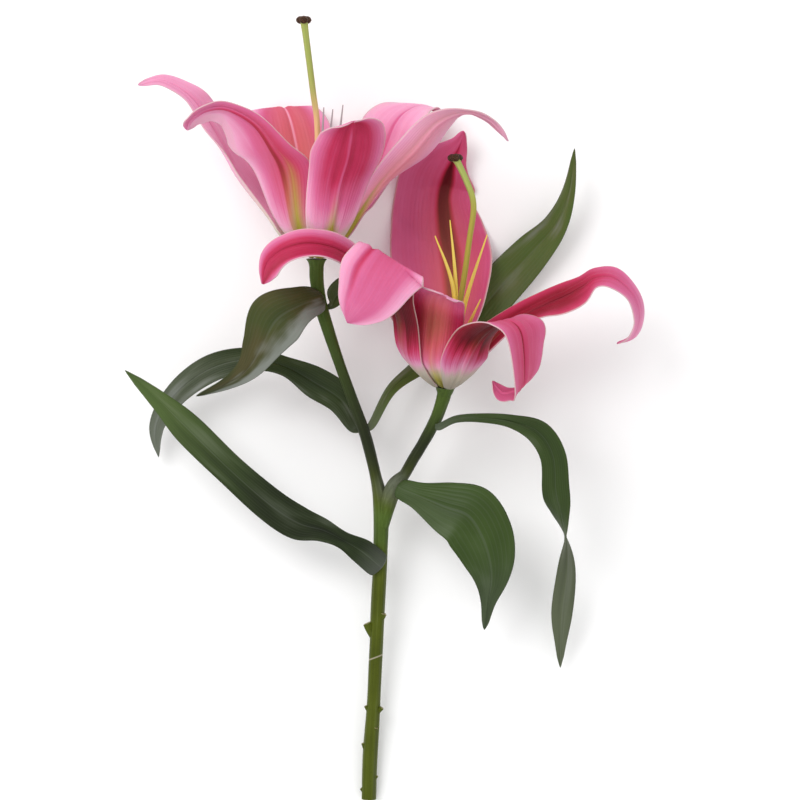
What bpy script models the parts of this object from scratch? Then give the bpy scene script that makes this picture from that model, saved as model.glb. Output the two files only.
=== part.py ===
"""A cut lily lying on a table: a branched stem, two open blooms and seven leaves.

The model is laid out in millimetres: x across the stem, y along it from its cut end, and z up from
the table. to_world() turns that into metres, with the origin under the middle of the whole flower.
"""

import math

import bmesh
import bpy
from mathutils import Matrix, Vector

MM = 0.001
GAP = 0.3  # clearance between neighbouring pieces
MIDDLE = (6.85, 194.1)  # x and y of the middle of the flower's bounding box

# ---------------------------------------------------------------- driving sizes, in millimetres
TEPAL_THICKNESS = 1.1
LEAF_THICKNESS = 0.8
STYLE_RADIUS = 1.7
FILAMENT_RADIUS = 0.8
FILAMENT_TIP = 0.35  # radius at a filament's end
FILAMENT_RISE = 8.0  # height on the axis by which a filament has leaned out by FILAMENT_LEAN
FILAMENT_LEAN = 1.2
RING_HEIGHT = 1.6  # the ring that the filaments grow from
RING_THICKNESS = 0.6
RING_SIDES = 6
RING_STEPS = 12
WELD = 0.02  # points closer than this are one
OVARY_RADIUS = 2.1
OVARY_LENGTH = 20.0
LOBE_OFFSET = 1.8  # the stigma's three lobes, from the end of the style
LOBE_RADIUS = 2.25
LOBE_FLATNESS = 0.9

BLOOM_FLOOR = 0.6  # height on a bloom's axis of the receptacle's top
STUB_ROOT = 0.6  # radius of a leaf stub where it leaves the stem, as a share of its end's

# How the tepals leave the receptacle: height on the bloom's axis, radius from it, half width.
THROAT = ((0.6, 5.0, 3.4), (3.6, 9.2, 6.0), (10.5, 16.2, 10.0), (20.0, 22.8, 13.5))
WHORL_OFFSET = 1.3  # inner tepals stand this far inside the throat's surface, outer ones outside it

TEPAL_GROOVE = 0.8  # depth of a tepal's central groove
LEAF_GROOVE = 0.5
TEPAL_GRID = (6, 16)  # faces across and along
LEAF_GRID = (4, 16)
RUFFLE_START = 0.4  # share of a blade's length below which its edges are plain
FRAME_STEPS = 96  # steps in which a blade's frame is carried along its midrib

GREEN = (0.10, 0.20, 0.05, 1)
LEAF_GREEN = (0.06, 0.12, 0.05, 1)
PINK = (0.72, 0.16, 0.32, 1)
PALE_GREEN = (0.45, 0.50, 0.15, 1)
STRAW = (0.75, 0.62, 0.20, 1)

# ---------------------------------------------------------------- the stem's lines: x, y, z, radius
MAIN_STEM = (
    (-0.9, -2.8, 3.5, 3.7),
    (-0.2, 20.0, 6.4, 3.8),
    (1.6, 48.0, 10.0, 3.4),
    (2.8, 72.0, 13.2, 3.4),
    (3.8, 95.0, 16.3, 3.6),
    (5.0, 122.0, 20.2, 3.6),
    (5.4, 146.0, 24.5, 3.9),
    (2.6, 162.0, 28.0, 3.0),
    (-2.3, 181.5, 32.0, 2.9),
    (-8.6, 199.0, 36.0, 2.8),
    (-15.0, 217.0, 40.5, 2.7),
    (-20.4, 233.0, 44.0, 3.0),
    (-24.6, 247.0, 46.6, 3.3),
    (-26.6, 259.0, 48.5, 3.4),
    (-26.8, 267.0, 49.6, 3.7),
    (-26.8, 270.5, 50.0, 5.2),
)
RIGHT_PEDICEL = (
    (5.6, 140.0, 24.0, 2.4),
    (9.5, 149.5, 26.5, 2.9),
    (15.5, 159.5, 29.5, 2.8),
    (21.0, 169.0, 32.0, 2.8),
    (27.5, 180.0, 35.0, 2.9),
    (33.2, 191.0, 38.0, 3.1),
    (36.3, 200.0, 40.5, 3.4),
    (37.3, 204.0, 41.6, 3.9),
    (37.6, 206.6, 42.2, 5.2),
)
# What is left of the leaves picked off the lower stem: x, y, z of the top, its radius, its length.
LEAF_STUBS = (
    (6.6, 92.0, 18.5, 1.5, 6.0),
    (-1.6, 87.0, 15.8, 1.9, 10.0),
    (5.8, 44.0, 11.5, 1.0, 5.0),
    (-2.2, 45.0, 10.5, 1.0, 6.0),
    (2.6, 34.0, 11.0, 1.1, 5.0),
    (-3.2, 26.0, 7.5, 1.3, 9.0),
    (2.8, 9.5, 5.5, 1.2, 5.0),
    (-4.4, 3.0, 4.5, 1.1, 5.0),
)


class Bloom:
    """Where a bloom stands on its receptacle, and which way it opens."""

    def __init__(self, name, base, axis):
        self.name = name
        self.base = Vector(base)
        self.axis = Vector(axis).normalized()
        self.right = (Vector((1, 0, 0)) - self.axis * self.axis.x).normalized()
        self.back = self.right.cross(self.axis) * -1

    def outward(self, angle):
        """The way out from the axis: 0 is right, 90 is down to the table, 270 is up from it."""
        turned = math.radians(angle)
        return self.right * math.cos(turned) + self.back * math.sin(turned)

    def point(self, angle, height, radius):
        return self.base + self.axis * height + self.outward(angle) * radius


LEFT_BLOOM = Bloom("left_bloom", (-26.8, 271.0, 50.0), (0.0, 1.0, 0.10))
RIGHT_BLOOM = Bloom("right_bloom", (37.8, 207.0, 42.4), (0.05, 1.0, 0.30))

# Tepals past the throat. A rib is x, y, z of the midrib, half width, turn about it, and cup in degrees,
# and where its halves differ, the share by which the half on the positive side is wider than the mean.
# Each entry: bloom, name, whorl, angle round the axis, ribs, edge wave (height, count, phase).
TEPALS = (
    (LEFT_BLOOM, "front", "outer", 290, (
        (-15.5, 306, 81, 17.5, 0, 36, -0.1),
        (-11.5, 319, 88, 20, 0, 32, -0.08),
        (-9.5, 329, 95, 17.5, 0, 24, -0.12),
        (-8.5, 334.5, 101, 12, 0, 10, -0.1),
        (-8, 336.5, 106, 2, 0, 0),
    ), (1.2, 2.5, 0.4)),
    (LEFT_BLOOM, "front_left", "inner", 230, (
        (-46.5, 312, 77, 16.5, 15, 32, -0.15),
        (-50.8, 323.5, 84, 16, 18, 22, 0.24),
        (-58, 335, 89, 13.5, 18, 8, 0.4),
        (-70, 342.5, 92, 8.5, 10, -5, 0.3),
        (-80, 342, 92, 8, 0, -10),
        (-87, 337.5, 90, 6.5, 0, -10),
        (-90, 333, 88, 1.5, 0, 0),
    ), (1.5, 3, 1.2)),
    (LEFT_BLOOM, "left", "outer", 166, (
        (-65, 311, 42, 16, 0, 30),
        (-74, 327, 43, 15, 0, 24),
        (-82, 341, 46, 11, -15, 15, 0.1),
        (-90.5, 352, 49, 6, -35, 10, 0.3),
        (-104, 359.5, 50, 3.4, -35, 5, 0.2),
        (-116, 357.5, 48, 1, -30, 0),
    ), (0.8, 3, 0)),
    (LEFT_BLOOM, "back_left", "inner", 108, (
        (-34.5, 301, 29, 17, 0, 30),
        (-38, 321, 22, 22, 0, 22),
        (-42, 340, 17, 21, 0, 10),
        (-45, 348, 11, 16, 0, 0),
        (-46, 345, 4.5, 9, 0, 0),
        (-46, 337, 0.3, 1.5, 0, 0),
    ), (1.5, 3, 2)),
    (LEFT_BLOOM, "back_right", "outer", 46, (
        (-4.5, 300, 31.5, 14, 4, 32),
        (5, 321, 26, 17.5, 8, 24),
        (12, 339, 24.5, 19, 4, 12),
        (20, 347, 20, 14, 0, 5),
        (29, 348.5, 13, 7, 0, 0),
        (37, 344, 6, 1.2, 0, 0),
    ), (1.5, 3, 1)),
    (LEFT_BLOOM, "right", "inner", 348, (
        (7, 308, 55, 13.5, -8, 36),
        (23, 322.5, 59, 15, -22, 30),
        (35.5, 337, 62, 13, -20, 20),
        (48, 343, 63, 9, 0, 10),
        (60, 339, 61, 4.5, 0, 5),
        (69, 329, 57, 0.8, 0, 0),
    ), (0.8, 3, 0.5)),
    (RIGHT_BLOOM, "back", "outer", 90, (
        (38, 246, 18, 21, 0, 36),
        (36, 267, 7.5, 27, 0, 32),
        (33.5, 288, -2.5, 24, 0, 20),
        (33.5, 303, -2.5, 20.5, 0, 16, -0.07),
        (36, 314, 4, 19.5, 0, 12, -0.08),
        (41, 323.5, 10, 11.5, 0, 8, -0.25),
        (45, 330.5, 13, 4.5, 0, 0),
        (47.5, 336, 15, 1.2, 0, 0),
    ), (1.2, 3.5, 2.5)),
    (RIGHT_BLOOM, "front_left", "outer", 204, (
        (15, 240, 68, 12, 8, 28),
        (10.5, 253, 78, 13.5, 24, 10),
        (9.5, 264, 85.5, 16, 40, -5),
        (9.5, 270, 92.5, 19.5, 27, -10, -0.14),
        (4, 261, 98, 19.5, 28, -12),
        (-1.5, 251, 95.5, 16.5, 28, -15),
        (-6.5, 244, 91.5, 11.5, 25, -15),
        (-11, 238, 86, 2, 20, 0),
    ), (1.2, 2.5, 0)),
    (RIGHT_BLOOM, "front", "inner", 248, (
        (32.5, 238, 70, 14.5, 0, 30),
        (33.5, 246.5, 78, 14, 6, 20),
        (35.5, 251.5, 85, 11.5, 14, 5),
        (37.5, 251, 91, 5.5, 14, 0),
    ), (1, 2.5, 1)),
    (RIGHT_BLOOM, "front_right", "outer", 293, (
        (53, 229.5, 74, 14, 10, 32),
        (60, 236, 81, 16.5, 20, 18),
        (68, 239, 86, 17, 30, 5),
        (74, 234.5, 89, 18.5, 32, 5, -0.18),
        (76, 223, 88, 16, 32, 5, -0.18),
        (76, 209, 82, 12, 32, 10, -0.1),
        (72.5, 204.5, 74, 6.5, 30, 15),
        (66, 203.5, 67, 4.5, 20, 15),
        (61, 209.5, 64, 1, 20, 0),
    ), (1, 2.5, 0)),
    (RIGHT_BLOOM, "right", "inner", 20, (
        (72.5, 239.5, 45, 10.5, 0, 25),
        (87, 247.5, 48, 12, 0, 18, 0.15),
        (98, 252.5, 52, 14, 0, 8, 0.25),
        (106, 257, 54, 12.5, 0, 0, 0.25),
        (113, 261, 56, 9, 0, 0),
        (122, 260.5, 57, 8.5, 0, 0),
        (131, 252, 55, 6, 0, 10),
        (134, 241, 51, 6.5, 0, 15),
        (130.5, 231.5, 48, 7.5, 0, 10),
        (123.5, 228.5, 47, 1, 0, 0),
    ), (0.8, 3, 0)),
    (RIGHT_BLOOM, "left", "inner", 145, (
        (14.5, 240.5, 41.5, 9, 0, 38),
        (2, 257, 57, 9.5, 5, 42),
        (-12, 270, 75, 10.5, 15, 45),
        (-26, 275, 83, 10.5, 20, 45),
        (-39, 273.5, 83, 10.5, 15, 40),
        (-49, 267, 76, 8.5, 0, 20),
        (-53, 257.5, 69, 1.5, 0, 0),
    ), (1, 3, 0)),
)

# Leaves. Each entry: name, which way the upper face looks at the base, ribs, edge wave.
LEAVES = (
    ("leaf_left_long", (0, 0, 1), (
        (5, 116, 25.4, 6.5, 0, -30),
        (-4, 123.5, 26.8, 6.5, 0, -10),
        (-14, 129.5, 28, 4.5, 0, 10),
        (-24, 134.5, 30, 6, 0, 10),
        (-36, 138, 31, 8.6, 0, 10),
        (-50, 147, 33, 8.6, 0, 10),
        (-70, 164.5, 36, 7.8, 0, 10),
        (-91, 185, 38, 7.8, 0, 10),
        (-105, 199, 40, 5, 0, 10),
        (-123, 215, 42, 0.7, 0, 0),
    ), (1.2, 3, 0)),
    ("leaf_left_arched", (0, 0, 1), (
        (-7, 187, 28.4, 4.5, 0, 15),
        (-14.5, 200, 29.5, 7.5, 0, 15),
        (-28, 209, 29, 8, 0, 10),
        (-43, 217, 28, 5, 0, 10),
        (-60, 220.5, 28, 6, 0, 10),
        (-80, 216, 26, 7, 0, 10),
        (-97.5, 203.5, 21, 6, 0, 10),
        (-108, 187, 15, 4, 0, 10),
        (-107.5, 171, 9, 0.7, 0, 0),
    ), (0.8, 3, 1)),
    ("leaf_upper_left", (0, 0, 1), (
        (-24, 251, 53, 6, 0, -30),
        (-34, 247.5, 60, 9.5, 0, 20),
        (-46.5, 240, 64, 14.5, 0, 10),
        (-54, 226.5, 61, 10, 0, 10),
        (-61, 215.5, 56, 6, 0, 10),
        (-72, 208, 52, 3.2, 0, 10),
        (-87, 202, 48, 0.7, 0, 0),
    ), (1.2, 2, 0)),
    ("leaf_bract", (0, 0, 1), (
        (-19, 247.5, 46.5, 2, 0, 20),
        (-16.5, 252.5, 50, 5.5, 0, 20),
        (-11, 257, 53, 6, 0, 20),
        (-5, 259.5, 53, 4, 0, 10),
        (1, 260.5, 51, 0.7, 0, 0),
    ), (0.3, 2, 0)),
    ("leaf_right_broad", (0, 0, 1), (
        (14.5, 156, 34, 5, 0, -30),
        (24, 152, 38, 7, 0, 15),
        (37.5, 146.5, 43, 13, 0, 10),
        (49, 142, 46, 16.5, 0, 10),
        (56, 131.5, 45, 16, 0, 10),
        (60, 119.5, 42, 13, 0, 10),
        (61, 108.8, 37, 8.5, 0, 10),
        (59.3, 98, 32, 3.8, 0, 10),
        (57.5, 84, 26, 0.7, 0, 0),
    ), (1.2, 2.5, 0)),
    ("leaf_right_drooping", (0, 0, 1), (
        (34.5, 186.5, 41, 1.8, 0, 20),
        (43.5, 190.5, 44, 1.9, 0, 15),
        (57, 191, 48, 2.4, 0, 10),
        (71, 189.3, 52, 3.5, 0, 10),
        (84, 184, 54, 6.2, 0, 10),
        (91.5, 172, 52, 6.6, 0, 10),
        (93, 155, 47, 7, 0, 10),
        (95.5, 143, 42, 6.5, 45, 10),
        (98, 131, 36, 6, 90, 10),
        (99, 114, 28, 6, 140, 10),
        (97, 92, 18, 5.6, 165, 10),
        (96.5, 76, 11, 2.9, 170, 10),
        (96.5, 64, 6, 0.7, 170, 0),
    ), (0.6, 3, 0)),
    ("leaf_right_tall", (0, 0, 1), (
        (0.8, 187.5, 30, 2.0, 0, 20),
        (10.5, 205, 22, 2.8, 0, 15),
        (25, 217, 13, 4.6, 0, 10),
        (46, 234, 7, 9.5, 0, 10),
        (66, 257.5, 5, 11, 0, 15),
        (82, 275, 8, 9.7, 0, 15),
        (94, 289, 13, 6.4, 0, 15),
        (100.5, 306, 19, 3.4, 0, 15),
        (103.2, 327, 24, 0.7, 0, 0),
    ), (0.6, 3, 0)),
)

# Styles and filaments: the points each passes through after the receptacle.
STYLES = {
    "left_bloom": ((-26.3, 334, 53), (-28.6, 355, 55), (-33, 389.5, 58)),
    "right_bloom": ((45, 250, 58), (49.5, 280, 65), (51.5, 297, 66), (48, 309, 65), (42.5, 320.5, 63)),
}
FILAMENTS = {
    "left_bloom": (
        ((-24.5, 310, 55), (-23, 346, 56)),
        ((-22, 310, 55), (-18.5, 345, 57)),
        ((-18, 310, 52), (-13.5, 347.5, 52)),
        ((-14, 308, 58), (-8, 331, 62)),
        ((-24, 305, 60), (-22, 328, 66)),
        ((-12, 305, 52), (-3, 326, 52)),
    ),
    "right_bloom": (
        ((42, 253, 48), (32.5, 282, 52)),
        ((43, 252, 45), (40, 290, 48)),
        ((47.5, 248, 50), (58.5, 282.5, 56)),
        ((33, 240, 54), (22, 258, 62)),
        ((41, 232, 59), (44, 249, 71)),
        ((47, 232, 57), (55, 250, 70)),
    ),
}


def to_world(point):
    """A point of the layout, in millimetres, as metres from the origin under the flower's middle."""
    return Vector(((point[0] - MIDDLE[0]) * MM, (point[1] - MIDDLE[1]) * MM, point[2] * MM))


def clear_scene():
    for old in list(bpy.data.objects):
        bpy.data.objects.remove(old)


def new_collection(name):
    made = bpy.data.collections.new(name)
    bpy.context.scene.collection.children.link(made)
    return made


def new_material(name, colour, roughness):
    made = bpy.data.materials.new(name)
    made.use_nodes = True
    shader = made.node_tree.nodes["Principled BSDF"]
    shader.inputs["Base Color"].default_value = colour
    shader.inputs["Roughness"].default_value = roughness
    shader.inputs["Metallic"].default_value = 0.0
    return made


# ---------------------------------------------------------------- blades: leaves and tepals
def along_ribs(ribs, share):
    """The rib at this share of the way along, on a smooth curve through all of them."""
    place = share * (len(ribs) - 1)
    start = min(int(place), len(ribs) - 2)
    t = place - start
    before, here, there, after = (ribs[min(max(start + step, 0), len(ribs) - 1)] for step in (-1, 0, 1, 2))
    rib = []
    for a, b, c, d in zip(before, here, there, after):
        rib.append(b + 0.5 * t * (c - a + t * (2 * a - 5 * b + 4 * c - d + t * (3 * (b - c) + d - a))))
    return rib


def blade_frames(ribs, faces):
    """(rib, midrib direction, face direction) at each step along a blade. The face direction is carried
    along the midrib without twist, and each rib's turn is added to it."""
    ribs = [(*rib, 0)[:7] for rib in ribs]
    steps = [along_ribs(ribs, step / FRAME_STEPS) for step in range(FRAME_STEPS + 1)]
    points = [Vector(rib[:3]) for rib in steps]
    frames = []
    face = Vector(faces)
    for step, rib in enumerate(steps):
        ahead = points[min(step + 1, FRAME_STEPS)]
        behind = points[max(step - 1, 0)]
        direction = (ahead - behind).normalized()
        face = (face - direction * face.dot(direction)).normalized()
        turned = Matrix.Rotation(math.radians(rib[4]), 3, direction) @ face
        frames.append((rib, direction, turned))
    return frames


def blade_point(frames, share, side, wave, groove, rest):
    """A point of the blade: share goes from base to tip, and side from -1 to 1 across it."""
    rib, direction, face = frames[round(share * FRAME_STEPS)]
    cup = math.radians(rib[5])
    half = rib[3] * (1 + rib[6] * (1 if side > 0 else -1))
    across, lift = half * side, 0.0
    if abs(cup) > 0.01:
        across = half / cup * math.sin(cup * side)
        lift = half / cup * (1 - math.cos(cup * side))
    height, count, phase = wave
    ruffle = math.sin(2 * math.pi * count * share + phase + (side > 0) * math.pi * 0.7)
    lift += height * ruffle * abs(side) ** 3 * max(0.0, share - RUFFLE_START) / (1 - RUFFLE_START)
    if side == 0:
        lift -= groove * math.sin(math.pi * share)
    point = Vector(rib[:3]) + direction.cross(face) * across + face * lift
    point.z = max(point.z, rest)
    return point


def add_blade(name, ribs, faces, wave, grid, thickness, groove, material, collection):
    """A leaf or tepal: a grid laid along its ribs, split into triangles and given its thickness."""
    frames = blade_frames(ribs, faces)
    shape = bmesh.new()
    bmesh.ops.create_grid(shape, x_segments=grid[0], y_segments=grid[1], size=0.5)
    for vertex in shape.verts:
        side, share = 2 * vertex.co.x, vertex.co.y + 0.5
        vertex.co = to_world(blade_point(frames, share, round(side, 6), wave, groove, thickness / 2))
    bmesh.ops.triangulate(shape, faces=shape.faces)
    mesh = bpy.data.meshes.new(name)
    shape.to_mesh(mesh)
    shape.free()
    mesh.shade_smooth()
    mesh.materials.append(material)
    blade = bpy.data.objects.new(name, mesh)
    collection.objects.link(blade)
    wall = blade.modifiers.new("wall", "SOLIDIFY")
    wall.thickness = thickness * MM
    wall.offset = 0
    return blade


def throat_ribs(bloom, angle, whorl):
    """The ribs where a tepal leaves the receptacle, wrapped round the bloom's axis."""
    out = WHORL_OFFSET if whorl == "outer" else -WHORL_OFFSET
    ribs = []
    for height, radius, half in THROAT:
        around = radius + out
        point = bloom.point(angle, height, around)
        ribs.append((*point, half, 0, math.degrees(half / around) * 0.9))
    return ribs


def add_tepals(material, collection):
    for bloom, name, whorl, angle, ribs, wave in TEPALS:
        add_blade(
            f"{bloom.name}_tepal_{name}",
            throat_ribs(bloom, angle, whorl) + list(ribs),
            -bloom.outward(angle),
            wave,
            TEPAL_GRID,
            TEPAL_THICKNESS,
            TEPAL_GROOVE,
            material,
            collection,
        )


def add_leaves(material, collection):
    for name, faces, ribs, wave in LEAVES:
        add_blade(name, ribs, faces, wave, LEAF_GRID, LEAF_THICKNESS, LEAF_GROOVE, material, collection)


# ---------------------------------------------------------------- stems: tubes along curves
def tube(name, points, sides_resolution, collection, smooth_steps=1):
    """A solid tube along (x, y, z, radius) points, as a mesh with its caps welded on."""
    curve = bpy.data.curves.new(name, "CURVE")
    curve.dimensions = "3D"
    curve.bevel_depth = MM
    curve.bevel_resolution = sides_resolution
    curve.use_fill_caps = True
    steps = smooth_steps * (len(points) - 1)
    line = curve.splines.new("POLY")
    line.points.add(steps)
    for step in range(steps + 1):
        x, y, z, radius = along_ribs(points, step / steps)
        line.points[step].co = (*to_world((x, y, z)), 1)
        line.points[step].radius = radius
    guide = bpy.data.objects.new(name + "_line", curve)
    collection.objects.link(guide)
    bpy.context.view_layer.update()
    evaluated = guide.evaluated_get(bpy.context.evaluated_depsgraph_get())
    mesh = bpy.data.meshes.new_from_object(evaluated)
    mesh.name = name
    shape = bmesh.new()
    shape.from_mesh(mesh)
    bmesh.ops.remove_doubles(shape, verts=shape.verts, dist=WELD * MM)
    bmesh.ops.recalc_face_normals(shape, faces=shape.faces)
    shape.to_mesh(mesh)
    shape.free()
    bpy.data.objects.remove(guide)
    made = bpy.data.objects.new(name, mesh)
    collection.objects.link(made)
    return made


def ball(name, centre, radius, flatten, collection):
    """A knob, flattened along y."""
    shape = bmesh.new()
    bmesh.ops.create_uvsphere(shape, u_segments=8, v_segments=6, radius=radius * MM)
    bmesh.ops.scale(shape, vec=(1, flatten, 1), verts=shape.verts)
    bmesh.ops.translate(shape, vec=to_world(centre), verts=shape.verts)
    mesh = bpy.data.meshes.new(name)
    shape.to_mesh(mesh)
    shape.free()
    made = bpy.data.objects.new(name, mesh)
    collection.objects.link(made)
    return made


def join_to(body, pieces, collection):
    """One Boolean union of body with the pieces, applied, and the pieces removed."""
    group = bpy.data.collections.new(body.name + "_pieces")
    bpy.context.scene.collection.children.link(group)
    for piece in pieces:
        collection.objects.unlink(piece)
        group.objects.link(piece)
    union = body.modifiers.new("union", "BOOLEAN")
    union.operation = "UNION"
    union.operand_type = "COLLECTION"
    union.collection = group
    union.solver = "EXACT"
    bpy.context.view_layer.update()
    evaluated = body.evaluated_get(bpy.context.evaluated_depsgraph_get())
    joined = bpy.data.meshes.new_from_object(evaluated)
    body.modifiers.clear()
    body.data = joined
    for piece in list(group.objects):
        bpy.data.objects.remove(piece)
    bpy.data.collections.remove(group)
    return body


def stem_centre(y):
    """The main stem's centre line at this distance from the cut end."""
    for low, high in zip(MAIN_STEM, MAIN_STEM[1:]):
        if low[1] <= y <= high[1]:
            share = (y - low[1]) / (high[1] - low[1])
            return Vector(low[:3]).lerp(Vector(high[:3]), share)
    return Vector(MAIN_STEM[0][:3])


def add_stem(material, collection):
    stem = tube("stem", MAIN_STEM, 3, collection, 2)
    pieces = [tube("right_pedicel", RIGHT_PEDICEL, 2, collection, 2)]
    for number, (x, y, z, radius, length) in enumerate(LEAF_STUBS):
        root = (*stem_centre(y - length), radius * STUB_ROOT)
        pieces.append(tube(f"stub_{number}", (root, (x, y, z, radius)), 1, collection))
    join_to(stem, pieces, collection)
    stem.data.materials.clear()
    stem.data.materials.append(material)
    stem.data.shade_smooth()
    return stem


def add_pistil(bloom, material, collection):
    """The ovary, the style that carries on from it, and the three-lobed stigma."""
    low = bloom.point(0, BLOOM_FLOOR + GAP, 0)
    line = [(*low, OVARY_RADIUS)]
    line.append((*bloom.point(0, OVARY_LENGTH * 0.5, 0), OVARY_RADIUS))
    line.append((*bloom.point(0, OVARY_LENGTH, 0), STYLE_RADIUS))
    line += [(*point, STYLE_RADIUS) for point in STYLES[bloom.name]]
    pistil = tube(f"{bloom.name}_pistil", line, 2, collection, 3)
    tip = Vector(STYLES[bloom.name][-1])
    lobes = []
    for lobe in range(3):
        turned = math.radians(90 + 120 * lobe)
        centre = tip + Vector((math.cos(turned), 0, math.sin(turned))) * LOBE_OFFSET
        lobes.append(ball(f"lobe_{lobe}", centre, LOBE_RADIUS, LOBE_FLATNESS, collection))
    join_to(pistil, lobes, collection)
    pistil.data.materials.clear()
    pistil.data.materials.append(material)
    pistil.data.shade_smooth()
    return pistil


def add_stamens(bloom, material, collection):
    """Six bare filaments on the ring that they grow from."""
    ring_radius = OVARY_RADIUS + GAP + RING_THICKNESS
    shape = bmesh.new()
    turn = bloom.axis.to_track_quat("Z", "Y").to_matrix().to_4x4()
    place = Matrix.Translation(to_world(bloom.point(0, RING_HEIGHT, 0))) @ turn
    profile = bmesh.ops.create_circle(shape, cap_ends=False, segments=RING_SIDES, radius=RING_THICKNESS * MM)
    bmesh.ops.rotate(shape, verts=profile["verts"], matrix=Matrix.Rotation(math.pi / 2, 3, "X"))
    bmesh.ops.translate(shape, verts=profile["verts"], vec=(ring_radius * MM, 0, 0))
    bmesh.ops.spin(
        shape, geom=shape.verts[:] + shape.edges[:], cent=(0, 0, 0), axis=(0, 0, 1),
        angle=2 * math.pi, steps=RING_STEPS, use_merge=True,
    )
    bmesh.ops.remove_doubles(shape, verts=shape.verts, dist=WELD * MM)
    bmesh.ops.transform(shape, matrix=place, verts=shape.verts)
    bmesh.ops.recalc_face_normals(shape, faces=shape.faces)
    mesh = bpy.data.meshes.new("ring")
    shape.to_mesh(mesh)
    shape.free()
    ring = bpy.data.objects.new(f"{bloom.name}_stamens", mesh)
    collection.objects.link(ring)
    filaments = []
    paths = FILAMENTS[bloom.name]
    for number, path in enumerate(paths):
        first = Vector(path[0]) - bloom.base
        angle = math.degrees(math.atan2(first.dot(bloom.back), first.dot(bloom.right)))
        line = [(*bloom.point(angle, RING_HEIGHT, ring_radius), RING_THICKNESS)]
        line.append((*bloom.point(angle, FILAMENT_RISE, ring_radius + FILAMENT_LEAN), FILAMENT_RADIUS))
        line.append((*path[0], FILAMENT_RADIUS))
        line.append((*path[1], FILAMENT_TIP))
        filaments.append(tube(f"filament_{number}", line, 1, collection, 3))
    join_to(ring, filaments, collection)
    ring.data.materials.clear()
    ring.data.materials.append(material)
    return ring


def main():
    clear_scene()
    lily = new_collection("lily")
    green = new_material("stem_green", GREEN, 0.5)
    leaf = new_material("leaf_green", LEAF_GREEN, 0.4)
    pink = new_material("tepal_pink", PINK, 0.5)
    pistil = new_material("pistil_green", PALE_GREEN, 0.5)
    straw = new_material("filament_straw", STRAW, 0.5)
    add_stem(green, lily)
    add_tepals(pink, lily)
    add_leaves(leaf, lily)
    for bloom in (LEFT_BLOOM, RIGHT_BLOOM):
        add_pistil(bloom, pistil, lily)
        add_stamens(bloom, straw, lily)


if __name__ == "__main__":
    main()
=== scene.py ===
"""A cut lily on a pale table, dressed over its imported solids, laid out as a Blender add-on.

The layout below is in millimetres: x across the stem, y along it from its cut end, and z up from the
table. to_world() turns it into metres, with the origin under the middle of the whole flower.
"""

import math
from typing import NamedTuple

import bmesh
import bpy
from mathutils import Matrix, Vector, noise


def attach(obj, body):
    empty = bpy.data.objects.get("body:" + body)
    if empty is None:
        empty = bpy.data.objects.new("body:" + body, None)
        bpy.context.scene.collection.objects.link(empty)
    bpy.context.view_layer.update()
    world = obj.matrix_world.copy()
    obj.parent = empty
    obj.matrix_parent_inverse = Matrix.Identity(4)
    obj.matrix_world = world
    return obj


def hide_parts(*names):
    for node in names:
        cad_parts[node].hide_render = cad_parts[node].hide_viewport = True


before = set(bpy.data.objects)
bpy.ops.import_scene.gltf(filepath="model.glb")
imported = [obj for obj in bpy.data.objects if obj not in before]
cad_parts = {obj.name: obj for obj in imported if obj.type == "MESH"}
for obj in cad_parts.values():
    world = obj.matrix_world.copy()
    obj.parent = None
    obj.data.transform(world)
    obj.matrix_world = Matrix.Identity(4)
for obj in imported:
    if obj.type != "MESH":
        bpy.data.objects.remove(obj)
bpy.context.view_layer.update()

bl_info = {
    "name": "Cut Lily",
    "version": (1, 0, 0),
    "blender": (4, 5, 0),
    "location": "3D View > Sidebar > Lily",
    "description": "Dresses a cut lily with fine tepals, leaves, stem, pistils and stamens",
    "category": "Add Mesh",
}

MM = 0.001
MIDDLE = (6.85, 194.1)  # x and y of the middle of the flower's bounding box
BODY = "root"
UP = (0, 0, 1)

# How the tepals leave the receptacle: height on the bloom's axis, radius from it, half width.
THROAT = ((0.6, 5.0, 3.4), (3.6, 9.2, 6.0), (10.5, 16.2, 10.0), (20.0, 22.8, 13.5))
THROAT_WRAP = 0.9  # how far a tepal's foot wraps round the axis, as a share of a full fit
WHORL_OFFSET = 1.3  # inner tepals stand this far inside the throat's surface, outer ones outside it
RUFFLE_START = 0.4  # share of a blade's length below which its edges are plain
FRAME_STEPS = 96  # steps in which a blade's frame is carried along its midrib
TEPAL_WINDOW = 3  # steps to either side over which a tepal's direction is taken
LEAF_WINDOW = 10  # the same for a leaf
LEAF_REACH = 1.5  # how far a leaf is followed back before it bends into the stem
LEAF_NARROWING = 0.4  # half width of a leaf inside the stem, as a share of its first rib's
TIP_SHARE = 0.045  # share of a blade's length that is drawn to a point
TIP_WIDTH = 0.12  # share of the width that is left at the point
TEPAL_VEINS = 8  # raised veins on each half of a tepal
LEAF_VEINS = 6.5
KEEL_DEPTH = 0.5  # of the trough along a leaf's midrib
SWELLING = 0.4  # height of the swellings beside a tepal's groove

OVARY_FOOT = 0.9  # height on the bloom's axis
OVARY_RADIUS = 2.1
OVARY_LENGTH = 20.0
STYLE_RADIUS = 1.7
LOBES = 3  # of the stigma
LOBE_OFFSET = 1.8  # of their centres from the end of the style
LOBE_RADIUS = 2.3
LOBE_SQUASH = (1.0, 0.85, 1.0)
RING_HEIGHT = 1.6  # the ring that the filaments grow from
RING_RADIUS = 3.0
RING_THICKNESS = 0.6
FILAMENT_RADIUS = 0.95
FILAMENT_TIP = 0.25  # radius at a filament's end
FILAMENT_RISE = 8.0  # height on the axis by which a filament has leaned out by FILAMENT_LEAN
FILAMENT_LEAN = 1.2

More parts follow.
